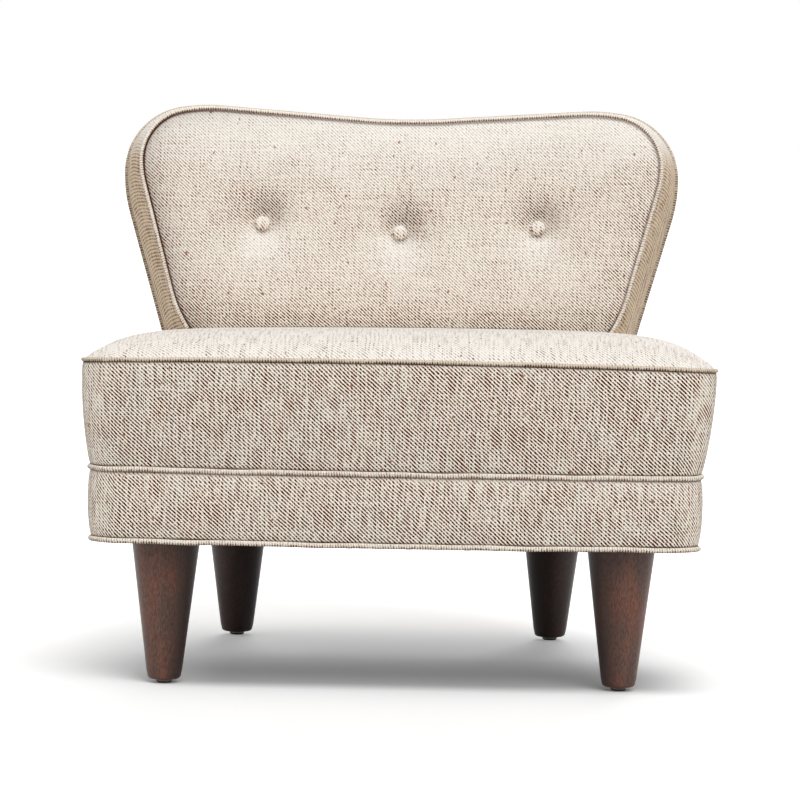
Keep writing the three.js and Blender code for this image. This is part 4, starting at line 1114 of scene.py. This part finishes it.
def seat_boxing():
    places, along = band_places(rear_seam_angle - seam_reach / rear_corner_radius)
    head = drawn_welt_z(places) - fine_seam_reach / 2
    foot = np.full(len(places), lower_welt_height + seam_reach / 2)
    shares = seam_steps(top_welt_height - lower_welt_height, boxing_rows)
    points, z = band(places, along, head, foot, boxing_inset, shares)
    shade = band_shade(z, head, foot, *boxing_shades)
    piece = cloth_piece("seat_boxing_cloth", spread(points), band_cloth(along, z), seat_core, shade=shade)
    return dressed(piece, cover_twill, "cover_fabric", "seat_boxing")


def seat_apron():
    head = np.full(len(ring), lower_welt_height - seam_reach / 2)
    foot = np.full(len(ring), bottom_welt_height + seam_reach / 2)
    shares = seam_steps(lower_welt_height - bottom_welt_height, apron_rows)
    points, z = band(ring, ring_along[:-1], head, foot, apron_inset, shares)
    shade = band_shade(z, head, foot, *apron_shades)
    cloth = band_cloth(ring_along, z, True)
    piece = cloth_piece("seat_apron_cloth", spread(points), cloth, seat_core, ring=True, shade=shade)
    return dressed(piece, cover_twill, "cover_fabric", "seat_apron")


def nearest_place(loop, x, y):
    return np.argmin(np.hypot(loop[:, 0] - x, loop[:, 1] - y))


def seat_cover_grid(across, up):
    """The seat's top from front to back, between the welts, as a grid in x and y."""
    edge = set_in(ring, top_welt_set_in + fine_seam_reach)
    loop = np.roll(edge, -nearest_place(ring, -seat_half_width, 0), axis=0)
    loop = np.vstack([loop, loop[:1]])
    rear_x = rear_corner[0] + rear_corner_radius
    corners = [(seat_half_width, 0), (rear_x, seat_depth), (-rear_x, seat_depth)]
    cuts = [0] + [nearest_place(loop, *corner) for corner in corners] + [len(loop) - 1]
    front, right, back, left = (loop[a:b + 1] for a, b in zip(cuts[:-1], cuts[1:]))
    return patch(front, back[::-1], left[::-1], right, across, up)


def seat_cover_z(x, y):
    """The seat's top, drawn down to its welt all round."""
    edge = set_in(ring[::2], top_welt_set_in + fine_seam_reach)
    from_seam = np.hypot(x[:, :, None] - edge[:, 0], y[:, :, None] - edge[:, 1]).min(axis=2)
    lifted = drawn_up(x, y) * np.exp(-from_seam / corner_settle_run)
    return seat_top_z(x, y) + lifted - top_seam_fall * np.exp(-from_seam / top_seam_fall_run)


def in_cover_well(middle):
    """Whether a place lies where the back goes down into the seat."""
    return abs(middle.x) < well_half_width and middle.y + bench_middle > well_front


def seat_top_cover():
    flat = seat_cover_grid(*seamed_shares(2 * seat_half_width, seat_depth, cover_steps))
    x, y = flat[:, :, 0], flat[:, :, 1]
    points = spread(np.stack([x, y, seat_cover_z(x, y)], axis=2))
    mesh = quad_mesh("seat_top_cloth", points, flat, inside=seat_core)
    shaped = bmesh.new()
    shaped.from_mesh(mesh)
    cut_out(shaped, in_cover_well)
    shaped.to_mesh(mesh)
    shaped.free()
    piece = new_piece("seat_top_cloth", mesh)
    settle(piece, "SOLIDIFY", thickness=cloth_thickness * mm, offset=-1.0)
    return dressed(piece, cover_twill, "cover_fabric", "seat_top_cover")


# Back covers


def seat_crossing(path):
    """Cuts a path that rises out of the seat where it meets the seat's cover, a little clear of it."""
    clear = path[:, 2] - seat_top_z(path[:, 0], path[:, 1]) - crevice_gap
    first = int(np.argmax(clear > 0))
    if first == 0:
        return path
    share = -clear[first - 1] / (clear[first] - clear[first - 1])
    start = path[first - 1] + (path[first] - path[first - 1]) * share
    return np.vstack([start, path[first:]])


def crevice_z(x):
    """The level at which the back cushion meets the seat."""
    z = np.full_like(x, top_welt_height)
    for _ in range(crevice_rounds):
        z = seat_top_z(x, cushion_y(x, z)) + crevice_gap
    return z


def face_grid(edge, level, foot_places, across, up):
    """A grid in x and z inside a face's edge, whose right half is given, down to a level that x gives."""
    corner = int(np.argmax(edge[:, 0] * corner_pick + edge[:, 1]))
    side = edge[:corner + 1]
    other_side = side * np.array([-1, 1])
    x = np.linspace(other_side[0, 0], side[0, 0], foot_places)
    low = np.stack([x, level(x)], axis=1)
    low[0], low[-1] = other_side[0], side[0]
    return patch(low, both_halves(edge[corner:])[::-1], other_side, side, across, up)


def inside_back_grid(across, up):
    edge = seat_crossing(on_front(front_edge, fine_seam_reach))[:, [0, 2]]
    return face_grid(edge, crevice_z, face_foot_places, across, up)


def rolled_cushion_y(x, z):
    """The cushion's face, which rolls under where it goes down into the seat."""
    return cushion_y(x, z) + crevice_roll * np.exp(-(z - z[:1]) / crevice_roll_run)


def inside_back_cover():
    flat = inside_back_grid(*seamed_shares(2 * front_half_width, face_height, face_steps))
    x, z = flat[:, :, 0], flat[:, :, 1]
    points = np.stack([x, rolled_cushion_y(x, z), z], axis=2)
    lip = points[:1] + np.array([0, crevice_lip, 0])
    points = np.vstack([lip, points])
    cloth = np.stack([points[:, :, 0], points[:, :, 2] / math.cos(back_recline)], axis=2)
    inside = np.maximum(inside_by(x, z) - fine_seam_reach, 0)
    # Painted shade: in the crease inside the front welt, along the cushion's left edge, and up and to the
    # right of each button's dimple.
    beside_left = np.clip(-x / front_half_width, 0, 1) ** 2
    shade = face_shade * seam_shade(inside) + left_edge_shade * beside_left * np.exp(-inside / left_edge_shade_run)
    shade = shade + tuft_shade * (tuft_fall_y(x - tuft_shade_right, z - tuft_shade_up) / tuft_depth) ** 3
    shade = np.vstack([shade[:1], shade])
    piece = cloth_piece("inside_back_cloth", points, cloth, (0, seat_depth, back_widest_height), shade=shade)
    return dressed(piece, back_twill, "cover_fabric", "inside_back_cover")


def back_boxing():
    """The band round the back, from one foot over the top to the other."""
    front, rear = on_front(front_edge), on_rear(rear_edge)
    width = np.linalg.norm(front - rear, axis=1)
    shares = seam_steps(band_width, back_band_columns)
    columns = []
    for share in shares:
        start = fine_seam_reach / 2 / width
        at = (start + (1 - 2 * start) * share)[:, None]
        near = np.minimum(share, 1 - share) * width
        proud = back_band_bulge * 4 * share * (1 - share) - seam_roll * np.exp(-near / seam_roll_run)
        out = front_edge[:, 2:] * (1 - share) + rear_edge[:, 2:] * share
        shift = np.stack([out[:, 0], np.zeros(len(out)), out[:, 1]], axis=1) * proud[:, None]
        half = seat_crossing(front * (1 - at) + rear * at + shift)
        columns.append(both_halves(even(half, back_band_places)))
    points = np.stack(columns)
    along = lengths(points[len(shares) // 2])
    cloth = np.stack(np.broadcast_arrays(shares[:, None] * band_width, along[None] - along[-1] / 2), axis=2)
    cloth[:, :, 1] += band_row_lean * shares[:, None] * band_width
    creases = seam_shade(shares * band_width) + seam_shade((1 - shares) * band_width)
    shade = back_band_shade * creases[:, None]
    piece = cloth_piece("back_boxing_cloth", points, cloth, back_core, shade=shade)
    return dressed(piece, band_twill_in_painted_shade, "cover_fabric", "back_boxing")


def outside_back_panel():
    """The plain panel behind, from the lower welt to the rear edge's welt."""
    edge = set_in(rear_half(lower_welt_height + seam_reach), seam_reach)
    across, up = seamed_shares(2 * back_half_width, panel_height, panel_steps)
    flat = face_grid(edge, lambda x: np.full_like(x, edge[0, 1]), panel_foot_places, across, up)
    x, z = flat[:, :, 0], flat[:, :, 1]
    points = np.stack([x, back_rear_y(x, z), z], axis=2)
    sides, ends = seam_shade(across * 2 * back_half_width), seam_shade(up * panel_height)
    creases = (sides + sides[::-1])[None] + (ends + ends[::-1])[:, None]
    shade = panel_shade * np.clip(creases, 0, 1)
    piece = cloth_piece("outside_back_cloth", points, np.stack([-x, z], axis=2), seat_core, shade=shade)
    return dressed(piece, cover_twill, "cover_fabric", "outside_back_panel")


# Foam inside the seat and the back


def filled_out(name, near, far, hollow=None):
    """A closed block between two grids of points. Where hollow says so, it has none."""
    mesh = quad_mesh(name, near, near[:, :, :2], inside=far.reshape(-1, 3).mean(axis=0))
    block = bmesh.new()
    block.from_mesh(mesh)
    place = block.verts.layers.int.new("place")
    for vertex in block.verts:
        vertex[place] = vertex.index
    if hollow is not None:
        cut_out(block, hollow)
    other = placed(far).reshape(-1, 3)
    made = bmesh.ops.extrude_face_region(block, geom=list(block.faces), use_keep_orig=True)
    for part in made["geom"]:
        if isinstance(part, bmesh.types.BMVert):
            part.co = other[part[place]]
    bmesh.ops.recalc_face_normals(block, faces=block.faces)
    block.verts.layers.int.remove(place)
    block.to_mesh(mesh)
    block.free()
    return new_piece(name, mesh)


def back_foam():
    flat = inside_back_grid(*even_shares(back_foam_steps))
    x, z = flat[:, :, 0], flat[:, :, 1]
    near = np.stack([x, rolled_cushion_y(x, z) + cloth_thickness + foam_gap, z], axis=2)
    far = np.stack([x, back_rear_y(x, z) - webbing_depth, z], axis=2)
    piece = filled_out("back_foam_block", near, far)
    return dressed(piece, foam_finish, "foam", "back_foam")


def in_foam_well(middle):
    return abs(middle.x) < well_half_width + 2 * foam_gap and middle.y + bench_middle > foam_well_front


def seat_foam():
    grid = seat_cover_grid(*even_shares(seat_foam_steps))
    centre = np.array([0, seat_depth / 2])
    inner = centre + (grid - centre) * (1 - foam_gap / seat_half_width)
    lower = centre + (grid - centre) * (1 - rail_inset / seat_half_width)
    x, y = inner[:, :, 0], inner[:, :, 1]
    near = spread(np.stack([x, y, seat_cover_z(x, y) - cloth_thickness - foam_gap], axis=2))
    flatter = 1 - (lower[:, :, 0] / seat_half_width) ** 4
    arch = deck_arch * np.sin(math.pi * lower[:, :, 1] / seat_depth) * flatter
    far = np.concatenate([lower, (deck_head + arch)[:, :, None]], axis=2)
    piece = filled_out("seat_foam_block", near, far, in_foam_well)
    return dressed(piece, foam_finish, "foam", "seat_foam")


# Welts, stitches, staples and legs are each drawn along a path by a geometry tree


def new_tree(name, **kinds):
    """A geometry tree with named inputs, the path from its mesh, its inputs and its output."""
    tree = bpy.data.node_groups.new(name, "GeometryNodeTree")
    tree.is_modifier = True
    for socket, kind in {"Geometry": "Geometry", **kinds, "Finish": "Material"}.items():
        tree.interface.new_socket(socket, in_out="INPUT", socket_type=f"NodeSocket{kind}")
    tree.interface.new_socket("Geometry", in_out="OUTPUT", socket_type="NodeSocketGeometry")
    given = tree.nodes.new("NodeGroupInput").outputs
    path = add(tree, "GeometryNodeMeshToCurve", {"Mesh": given["Geometry"]})
    return tree, path, given, tree.nodes.new("NodeGroupOutput")


def end_tree(tree, shape, given, made):
    """Ends a geometry tree in one real mesh with its finish on."""
    real = add(tree, "GeometryNodeRealizeInstances", {"Geometry": shape})
    finished = add(tree, "GeometryNodeSetMaterial", {"Geometry": real, "Material": given["Finish"]})
    tree.links.new(finished, made.inputs["Geometry"])
    return tree


def run_tree(piece, tree, **values):
    """Runs a geometry tree on a piece with its named inputs set, and keeps the mesh."""
    modifier = piece.modifiers.new(tree.name, "NODES")
    modifier.node_group = tree
    for item in tree.interface.items_tree:
        if item.in_out == "INPUT" and item.name in values:
            modifier[item.identifier] = values[item.name]
    keep_result(piece)


def path_mesh(name, points, closed):
    count = len(points)
    edges = [(i, (i + 1) % count) for i in range(count if closed else count - 1)]
    mesh = bpy.data.meshes.new(name)
    mesh.from_pydata(placed(points).tolist(), edges, [])
    return mesh


# Welts: cloth sewn round a cord


def welt_tree():
    tree, path, given, made = new_tree("welt_round_a_cord", Radius="Float", Sides="Int")
    length = add(tree, "GeometryNodeSplineParameter", out="Length")
    run = {"Geometry": path, "Name": "along", "Value": length}
    size = {"Radius": given["Radius"], "Resolution": given["Sides"]}
    circle = add(tree, "GeometryNodeCurvePrimitiveCircle", size)
    factor = add(tree, "GeometryNodeSplineParameter", out="Factor")
    turn = {"Geometry": circle, "Name": "around", "Value": factor}
    measured, profile = (
        add(tree, "GeometryNodeStoreNamedAttribute", values, domain="POINT") for values in (run, turn)
    )
    sweep = {"Curve": measured, "Profile Curve": profile, "Fill Caps": True}
    return end_tree(tree, add(tree, "GeometryNodeCurveToMesh", sweep), given, made)


welt_maker = welt_tree()


def taken(mesh, name):
    """The values that a mesh carries at its points under a name, which are taken off it."""
    values = np.zeros(len(mesh.vertices))
    mesh.attributes[name].data.foreach_get("value", values)
    mesh.attributes.remove(mesh.attributes[name])
    return values


def lay_cloth(mesh, girth):
    """Turns the lengths along and around a tube into the cloth's own coordinates."""
    along, around = taken(mesh, "along"), taken(mesh, "around")
    corner = np.zeros(len(mesh.loops), dtype=np.int32)
    mesh.loops.foreach_get("vertex_index", corner)
    uv = np.zeros((len(mesh.loops), 2))
    for face in mesh.polygons:
        loops = range(face.loop_start, face.loop_start + face.loop_total)
        turn = [around[corner[k]] for k in loops]
        wraps = max(turn) - min(turn) > 0.5
        run = [along[corner[k]] for k in loops]
        joins = max(run) - min(run) > join_jump * mm
        for k, t, r in zip(loops, turn, run):
            uv[k, 1] = (t + 1 if wraps and t < 0.5 else t) * girth
            uv[k, 0] = r if not joins or r > join_jump * mm else max(run)
    mesh.uv_layers.new(name="cloth").data.foreach_set("uv", uv.ravel())


def welt(name, points, closed, node, radius=welt_radius, cloth=welt_twill):
    piece = new_piece(name, path_mesh(name, points, closed))
    run_tree(piece, welt_maker, Radius=radius * mm, Sides=welt_sides, Finish=cloth)
    lay_cloth(piece.data, 2 * math.pi * radius * mm)
    return dressed(piece, cloth, "welt_fabric", node)


def uneven(points, along, phase, wander):
    """A sewn welt is never quite straight: it rises and dips by a fraction of a millimetre."""
    moved = points.copy()
    moved[:, 2] += wander * ripple(along, welt_wander_wave, phase)
    return moved


def seat_welts():
    places, along = band_places(rear_seam_angle - 2 * welt_radius / rear_corner_radius)
    top = raised(set_in(places, top_welt_set_in), drawn_welt_z(places))
    top = spread(uneven(top, along, top_welt_phase, top_welt_wander))
    welt("seat_top_welt_cord", top, False, "seat_top_welt", fine_welt_radius, shaded_welt_twill)
    for name, inset, z, phase in (
        ("seat_lower_welt", lower_draw_in, lower_welt_height, lower_welt_phase),
        ("seat_bottom_welt", bottom_draw_in, bottom_welt_height, bottom_welt_phase),
    ):
        path = uneven(raised(set_in(ring, inset), z), ring_along[:-1], phase, low_welt_wander)
        welt(name + "_cord", spread(path), True, name)


def back_welts():
    front = even(both_halves(seat_crossing(on_front(front_edge))), front_welt_places)
    welt("back_front_welt_cord", front, False, "back_front_welt", fine_welt_radius)
    rear = even(both_halves(on_rear(rear_half(lower_welt_height + 2 * welt_radius))), rear_welt_places)
    welt("back_rear_welt_cord", rear, False, "back_rear_welt", cloth=shaded_welt_twill)


# Stitches and staples


def stitch_tree():
    tree, path, given, made = new_tree("row_of_stitches", Pitch="Float", Length="Float", Thickness="Float")
    places = add(tree, "GeometryNodeResampleCurve", {"Curve": path, "Length": given["Pitch"]}, mode="LENGTH")
    wide, long = given["Thickness"], given["Length"]
    size = add(tree, "ShaderNodeCombineXYZ", {"X": wide, "Y": wide, "Z": long})
    ball = add(tree, "GeometryNodeMeshUVSphere", unit_ball)
    stitch = add(tree, "GeometryNodeTransform", {"Geometry": ball, "Scale": size})
    along = {"Vector": add(tree, "GeometryNodeInputTangent")}
    turned = add(tree, "FunctionNodeAlignRotationToVector", along, axis="Z")
    laid = {"Points": places, "Instance": stitch, "Rotation": turned}
    return end_tree(tree, add(tree, "GeometryNodeInstanceOnPoints", laid), given, made)


stitch_maker = stitch_tree()


def row_of_stitches(name, points, closed, finish, slot, size):
    """Stitches in a row. size gives their pitch, length and thickness."""
    piece = new_piece(name, path_mesh(name, points, closed))
    pitch, length, thickness = (value * mm for value in size)
    run_tree(piece, stitch_maker, Pitch=pitch, Length=length, Thickness=thickness, Finish=finish)
    return dressed(piece, finish, slot)


def blind_stitches():
    """The hand-sewn thread that closes the outside panel, a dash at a time beside its welt."""
    path = both_halves(on_rear(rear_half(lower_welt_height + 3 * welt_radius), stitch_set_in))
    size = (stitch_pitch, stitch_length, thread_width)
    row_of_stitches("panel_blind_stitches", path, False, thread_finish, "welt_fabric", size)


def dust_cover_staples():
    path = raised(set_in(ring, rail_inset + staple_set_in), dust_cover_foot - staple_wire / 2)
    size = (staple_pitch, staple_width, staple_wire)
    row_of_stitches("dust_cover_staples", path, True, plate_finish, "plated_steel", size)


# Buttons and glides: shapes turned round an axis


def turns(sides):
    return np.linspace(0, 2 * math.pi, sides, endpoint=False)


def lathe(profile, sides):
    """Rings of points round z through a profile of radius and height."""
    profile = np.asarray(profile, dtype=float)
    x = profile[:, :1] * np.cos(turns(sides))[None]
    y = profile[:, :1] * np.sin(turns(sides))[None]
    z = np.broadcast_to(profile[:, 1:], x.shape)
    return np.stack([x, y, z], axis=2)


def covered_button(side, x, z):
    """A dome covered in the same cloth, drawn tight over its edge, leaning as the back does."""
    profile = [(0, 0), (button_radius - button_edge_round, 0), (button_radius, button_edge_round)]
    profile += [(button_radius * wide, button_height * high) for wide, high in button_dome_shares]
    profile += [(0, button_height)]
    points = lathe(profile, button_sides)
    gathers = button_gather * np.cos(turns(button_sides) * button_gathers)[None, :]
    gathers = gathers * (points[:, :, 2] < button_height / 2)
    points[:, :, :2] *= 1 + gathers[:, :, None] / button_radius
    cloth = points[:, :, :2]
    cloth = np.concatenate([cloth, cloth[:, :1]], axis=1) + np.array([x, z])
    forward = Vector((-x / back_wrap_radius, -1, math.tan(back_recline))).normalized()
    lean = np.array(Vector((0, 0, 1)).rotation_difference(forward).to_matrix())
    y = float(cushion_y(np.array([float(x)]), np.array([float(z)]))[0]) - button_seat_gap
    points = points @ lean.T + np.array([x, y, z])
    name = f"button_{side}_dome"
    # Painted shade: the rim where the button meets the cushion darkens a little.
    rim = np.array([1.0 if height <= button_edge_round else 0.0 for _, height in profile])[:, None]
    middle = points.reshape(-1, 3).mean(axis=0)
    piece = new_piece(name, quad_mesh(name, points, cloth, True, middle, shade=button_rim_shade * rim))
    close_poles(piece.data)
    settle(piece, "SUBSURF", levels=1, render_levels=1)
    return dressed(piece, button_twill_painted_lighter, "cover_fabric", f"button_{side}")


def nail_glide(corner, x, y, rake):
    """A nail-on glide: a nylon base in a nickel shell; its nail, out of sight in the leg, is not drawn."""
    foot_y = y + leg_head * math.tan(rake)
    points = lathe(glide_profile, glide_sides) + np.array([x, foot_y, 0])
    cloth = np.zeros((len(glide_profile), glide_sides + 1, 2))
    name = f"glide_{corner}_cap"
    middle = (x, foot_y, glide_profile[-1][1] / 2)
    piece = new_piece(name, quad_mesh(name, points, cloth, True, middle))
    close_poles(piece.data)
    dressed(piece, plate_finish, "plated_steel", f"glide_{corner}")
    piece.data.materials.append(base_finish)
    for face in piece.data.polygons:
        face.material_index = 1 if face.center.z < glide_base_height * mm else 0
        face.use_smooth = True
    return piece


# Legs


def leg_tree():
    """Draws a leg from its levels and radii, and slides it back as far as its rake asks at each level."""
    tree, path, given, made = new_tree("turned_tapered_leg", Sides="Int", Rake="Float", Head="Float")
    width = add(tree, "GeometryNodeInputNamedAttribute", {"Name": "width"}, data_type="FLOAT")
    sized = add(tree, "GeometryNodeSetCurveRadius", {"Curve": path, "Radius": width})
    circle = add(tree, "GeometryNodeCurvePrimitiveCircle", {"Radius": 1.0, "Resolution": given["Sides"]})
    sweep = {"Curve": sized, "Profile Curve": circle, "Scale": width, "Fill Caps": True}
    body = add(tree, "GeometryNodeCurveToMesh", sweep)
    level = add(tree, "ShaderNodeSeparateXYZ", (add(tree, "GeometryNodeInputPosition"),), out="Z")
    below = add(tree, "ShaderNodeMath", (given["Head"], level), operation="SUBTRACT")
    slid = product(tree, below, given["Rake"])
    offset = add(tree, "ShaderNodeCombineXYZ", {"Y": slid})
    raked = add(tree, "GeometryNodeSetPosition", {"Geometry": body, "Offset": offset})
    return end_tree(tree, raked, given, made)


leg_maker = leg_tree()


def turned_leg(corner, x, y, rake):
    """The leg's levels and radii: a flat foot, a rounded edge, and a straight taper up to its head."""
    slope = (leg_top_radius - leg_foot_radius) / (leg_head - leg_foot)
    profile = [
        (leg_foot_radius - leg_edge_round * (1 - math.sin(a)), leg_foot + leg_edge_round * (1 - math.cos(a)))
        for a in np.linspace(0, math.pi / 2, leg_edge_levels)
    ]
    levels = np.linspace(leg_foot + leg_edge_round, leg_head, leg_levels)[1:]
    profile += [(leg_foot_radius + slope * (z - leg_foot), z) for z in levels]
    name = f"leg_{corner}_turning"
    mesh = path_mesh(name, [(x, y, z) for _, z in profile], False)
    mesh.attributes.new("width", "FLOAT", "POINT").data.foreach_set("value", [r * mm for r, _ in profile])
    piece = new_piece(name, mesh)
    # The raked rear legs take the darker copy of the finish, which is painted shade.
    finish = rear_leg_finish_in_painted_shade if rake else leg_finish
    run_tree(piece, leg_maker, Sides=leg_sides, Rake=math.tan(rake), Head=leg_head * mm, Finish=finish)
    return dressed(piece, finish, "leg_wood", f"leg_{corner}")


# Underside


def dust_cover():
    """The cloth under the seat: its edge turned in and stapled, its middle hanging a little."""
    grid = seat_cover_grid(*even_shares(dust_steps))
    centre = np.array([0, seat_depth / 2])
    shrink = (seat_half_width - rail_inset) / (seat_half_width - seam_reach)
    flat = centre + (grid - centre) * shrink
    x, y = flat[:, :, 0], flat[:, :, 1]
    rise = (1 - (x / seat_half_width) ** 2) * (1 - ((y - centre[1]) / centre[1]) ** 2)
    looser = 0.8 + 0.2 * ripple(x + y, dust_sag_wave, dust_sag_phase)
    z = dust_cover_foot + dust_cover_thickness / 2 - dust_sag * np.clip(rise, 0, 1) * looser
    points = np.stack([x, y, z], axis=2)
    core = (0, centre[1], lower_welt_height)
    piece = cloth_piece("dust_cover_cloth", points, flat, core, thickness=dust_cloth_thickness)
    dressed(piece, dust_finish, "dust_cloth", "dust_cover")
    width, depth = np.ptp(x) * mm, np.ptp(y) * mm
    return piece, width, depth


# Studio


def rays(tree, *kinds):
    """One for the rays of any of these kinds, zero for others."""
    path = add(tree, "ShaderNodeLightPath").node
    seen = path.outputs[f"Is {kinds[0]} Ray"]
    for kind in kinds[1:]:
        seen = add(tree, "ShaderNodeMath", (seen, path.outputs[f"Is {kind} Ray"]), operation="MAXIMUM")
    return seen


def studio_floor():
    """A white floor that stays white round the chair and keeps its shadow, with painted shadow under the seat
    and a painted glow far back.
    """
    mesh = bpy.data.meshes.new("studio_floor")
    reach = floor_reach * mm
    corners = [(x * reach, y * reach, 0) for x, y in ((-1, -1), (1, -1), (1, 1), (-1, 1))]
    mesh.from_pydata(corners, [], [(0, 1, 2, 3)])
    floor = new_piece("studio_floor", mesh)
    material, tree = new_material("white_studio_floor")
    split = add(tree, "ShaderNodeSeparateXYZ", (object_millimetres(tree),)).node
    side, back = split.outputs["X"], split.outputs["Y"]
    # Painted shadow: a soft grey patch under the seat darkens the floor's white.
    painted_shadow = product(tree, *(
        add(tree, "ShaderNodeMapRange", values, **smoothly) for values in (
            (back, *painted_shadow_front, 0.0, painted_shadow_level), (back, *painted_shadow_back, 1.0, 0.0),
            (side, *painted_shadow_left), (side, *painted_shadow_right, 1.0, 0.0),
        )
    ))
    shown = rays(tree, "Camera", "Glossy")
    white = add(tree, "ShaderNodeMix", {0: shown, 6: floor_white, 7: floor_shown_white}, 2, data_type="RGBA")
    shadowed_white = add(tree, "ShaderNodeMix", {0: painted_shadow, 6: white, 7: (0, 0, 0, 1)}, 2, data_type="RGBA")
    diffuse = add(tree, "ShaderNodeBsdfDiffuse", {"Color": shadowed_white})
    # Painted light: a glow that only the camera sees, faint near and stronger far back, lightens the shadow
    # behind the chair.
    far = (back, floor_far_start, floor_far_end, floor_lift, floor_far_lift)
    lift = product(tree, rays(tree, "Camera"), add(tree, "ShaderNodeMapRange", far, **smoothly))
    glow = add(tree, "ShaderNodeEmission", {"Color": (1, 1, 1, 1), "Strength": lift})
    shader = add(tree, "ShaderNodeAddShader", (diffuse, glow))
    add(tree, "ShaderNodeOutputMaterial", {"Surface": shader})
    mesh.materials.append(material)


def lamp(name, energy, spread_degrees, towards):
    """A broad, far lamp that shines from a direction."""
    light = bpy.data.lights.new(name, "SUN")
    light.energy = energy
    light.angle = math.radians(spread_degrees)
    made = bpy.data.objects.new(name, light)
    made.rotation_mode = "QUATERNION"
    made.rotation_quaternion = Vector(towards).to_track_quat("Z", "Y")
    bpy.context.scene.collection.objects.link(made)


def studio_light():
    """White to the camera and in reflections; the light itself is softer, and thins towards the horizon."""
    world = bpy.data.worlds.new("white_studio")
    bpy.context.scene.world = world
    world.use_nodes = True
    tree = world.node_tree
    tree.nodes.clear()
    towards = add(tree, "ShaderNodeTexCoord", out="Generated")
    up = add(tree, "ShaderNodeSeparateXYZ", (towards,), out="Z")
    dome = add(tree, "ShaderNodeMapRange", (up, 0.0, dome_blend, dome_low, dome_high), **smoothly)
    level = add(tree, "ShaderNodeMix", {0: rays(tree, "Camera", "Transmission", "Glossy"), 2: dome, 3: 1.0})
    sky = add(tree, "ShaderNodeBackground", {"Color": (1, 1, 1, 1), "Strength": level})
    add(tree, "ShaderNodeOutputWorld", {"Surface": sky})
    for name, settings in lamps.items():
        lamp(name, *settings)


def camera():
    """The picture's camera: a long lens, a little high, a touch rolled."""
    picture = bpy.data.cameras.new("picture_camera")
    picture.sensor_width = sensor_width
    picture.lens = sensor_width * lens_pixels / picture_pixels
    picture.clip_start, picture.clip_end = nearest_seen * mm, furthest_seen * mm
    made = bpy.data.objects.new("picture_camera", picture)
    front_legs = (legs["front_left"][1] - bench_middle) * mm
    level_along = Vector((-math.sin(camera_swing), math.cos(camera_swing), 0))
    along = level_along * math.cos(camera_pitch) - Vector((0, 0, math.sin(camera_pitch)))
    right = Vector((math.cos(camera_swing), math.sin(camera_swing), 0))
    up = right.cross(along)
    rolled_right = right * math.cos(camera_roll) + up * math.sin(camera_roll)
    rolled_up = up * math.cos(camera_roll) - right * math.sin(camera_roll)
    spot = (right * camera_aside - level_along * camera_distance) * mm
    made.matrix_world = Matrix((
        (rolled_right.x, rolled_up.x, -along.x, spot.x),
        (rolled_right.y, rolled_up.y, -along.y, spot.y + front_legs),
        (rolled_right.z, rolled_up.z, -along.z, camera_height * mm),
        (0, 0, 0, 1),
    ))
    bpy.context.scene.collection.objects.link(made)
    bpy.context.scene.camera = made
    bpy.context.scene.view_settings.view_transform = "Standard"


def dress_frame():
    """The inner nodes keep their solids and take the material of their slot."""
    finishes = {
        "cover_fabric": cover_twill, "welt_fabric": welt_twill, "foam": foam_finish, "jute": jute_finish,
        "leg_wood": leg_finish, "frame_wood": frame_finish, "dust_cloth": dust_finish,
        "spring_steel": spring_finish, "plated_steel": plate_finish,
    }
    slots = {part["node"]: part["material_slot"] for part in frame["record"]["subparts"]}
    for name, node in frame["nodes"].items():
        for place in node.material_slots:
            place.link = "OBJECT"
            place.material = finishes[slots[name]]


camera()
dress_frame()
seat_top_cover()
seat_boxing()
seat_apron()
seat_welts()
inside_back_cover()
back_boxing()
outside_back_panel()
back_welts()
seat_foam()
back_foam()
blind_stitches()
dust_cover_staples()
for tuft in tufts:
    covered_button(*tuft)
for corner, (x, y, rake) in legs.items():
    turned_leg(corner, x, y, rake)
    nail_glide(corner, x, y, rake)
cloth, width, depth = dust_cover()
studio_floor()
studio_light()
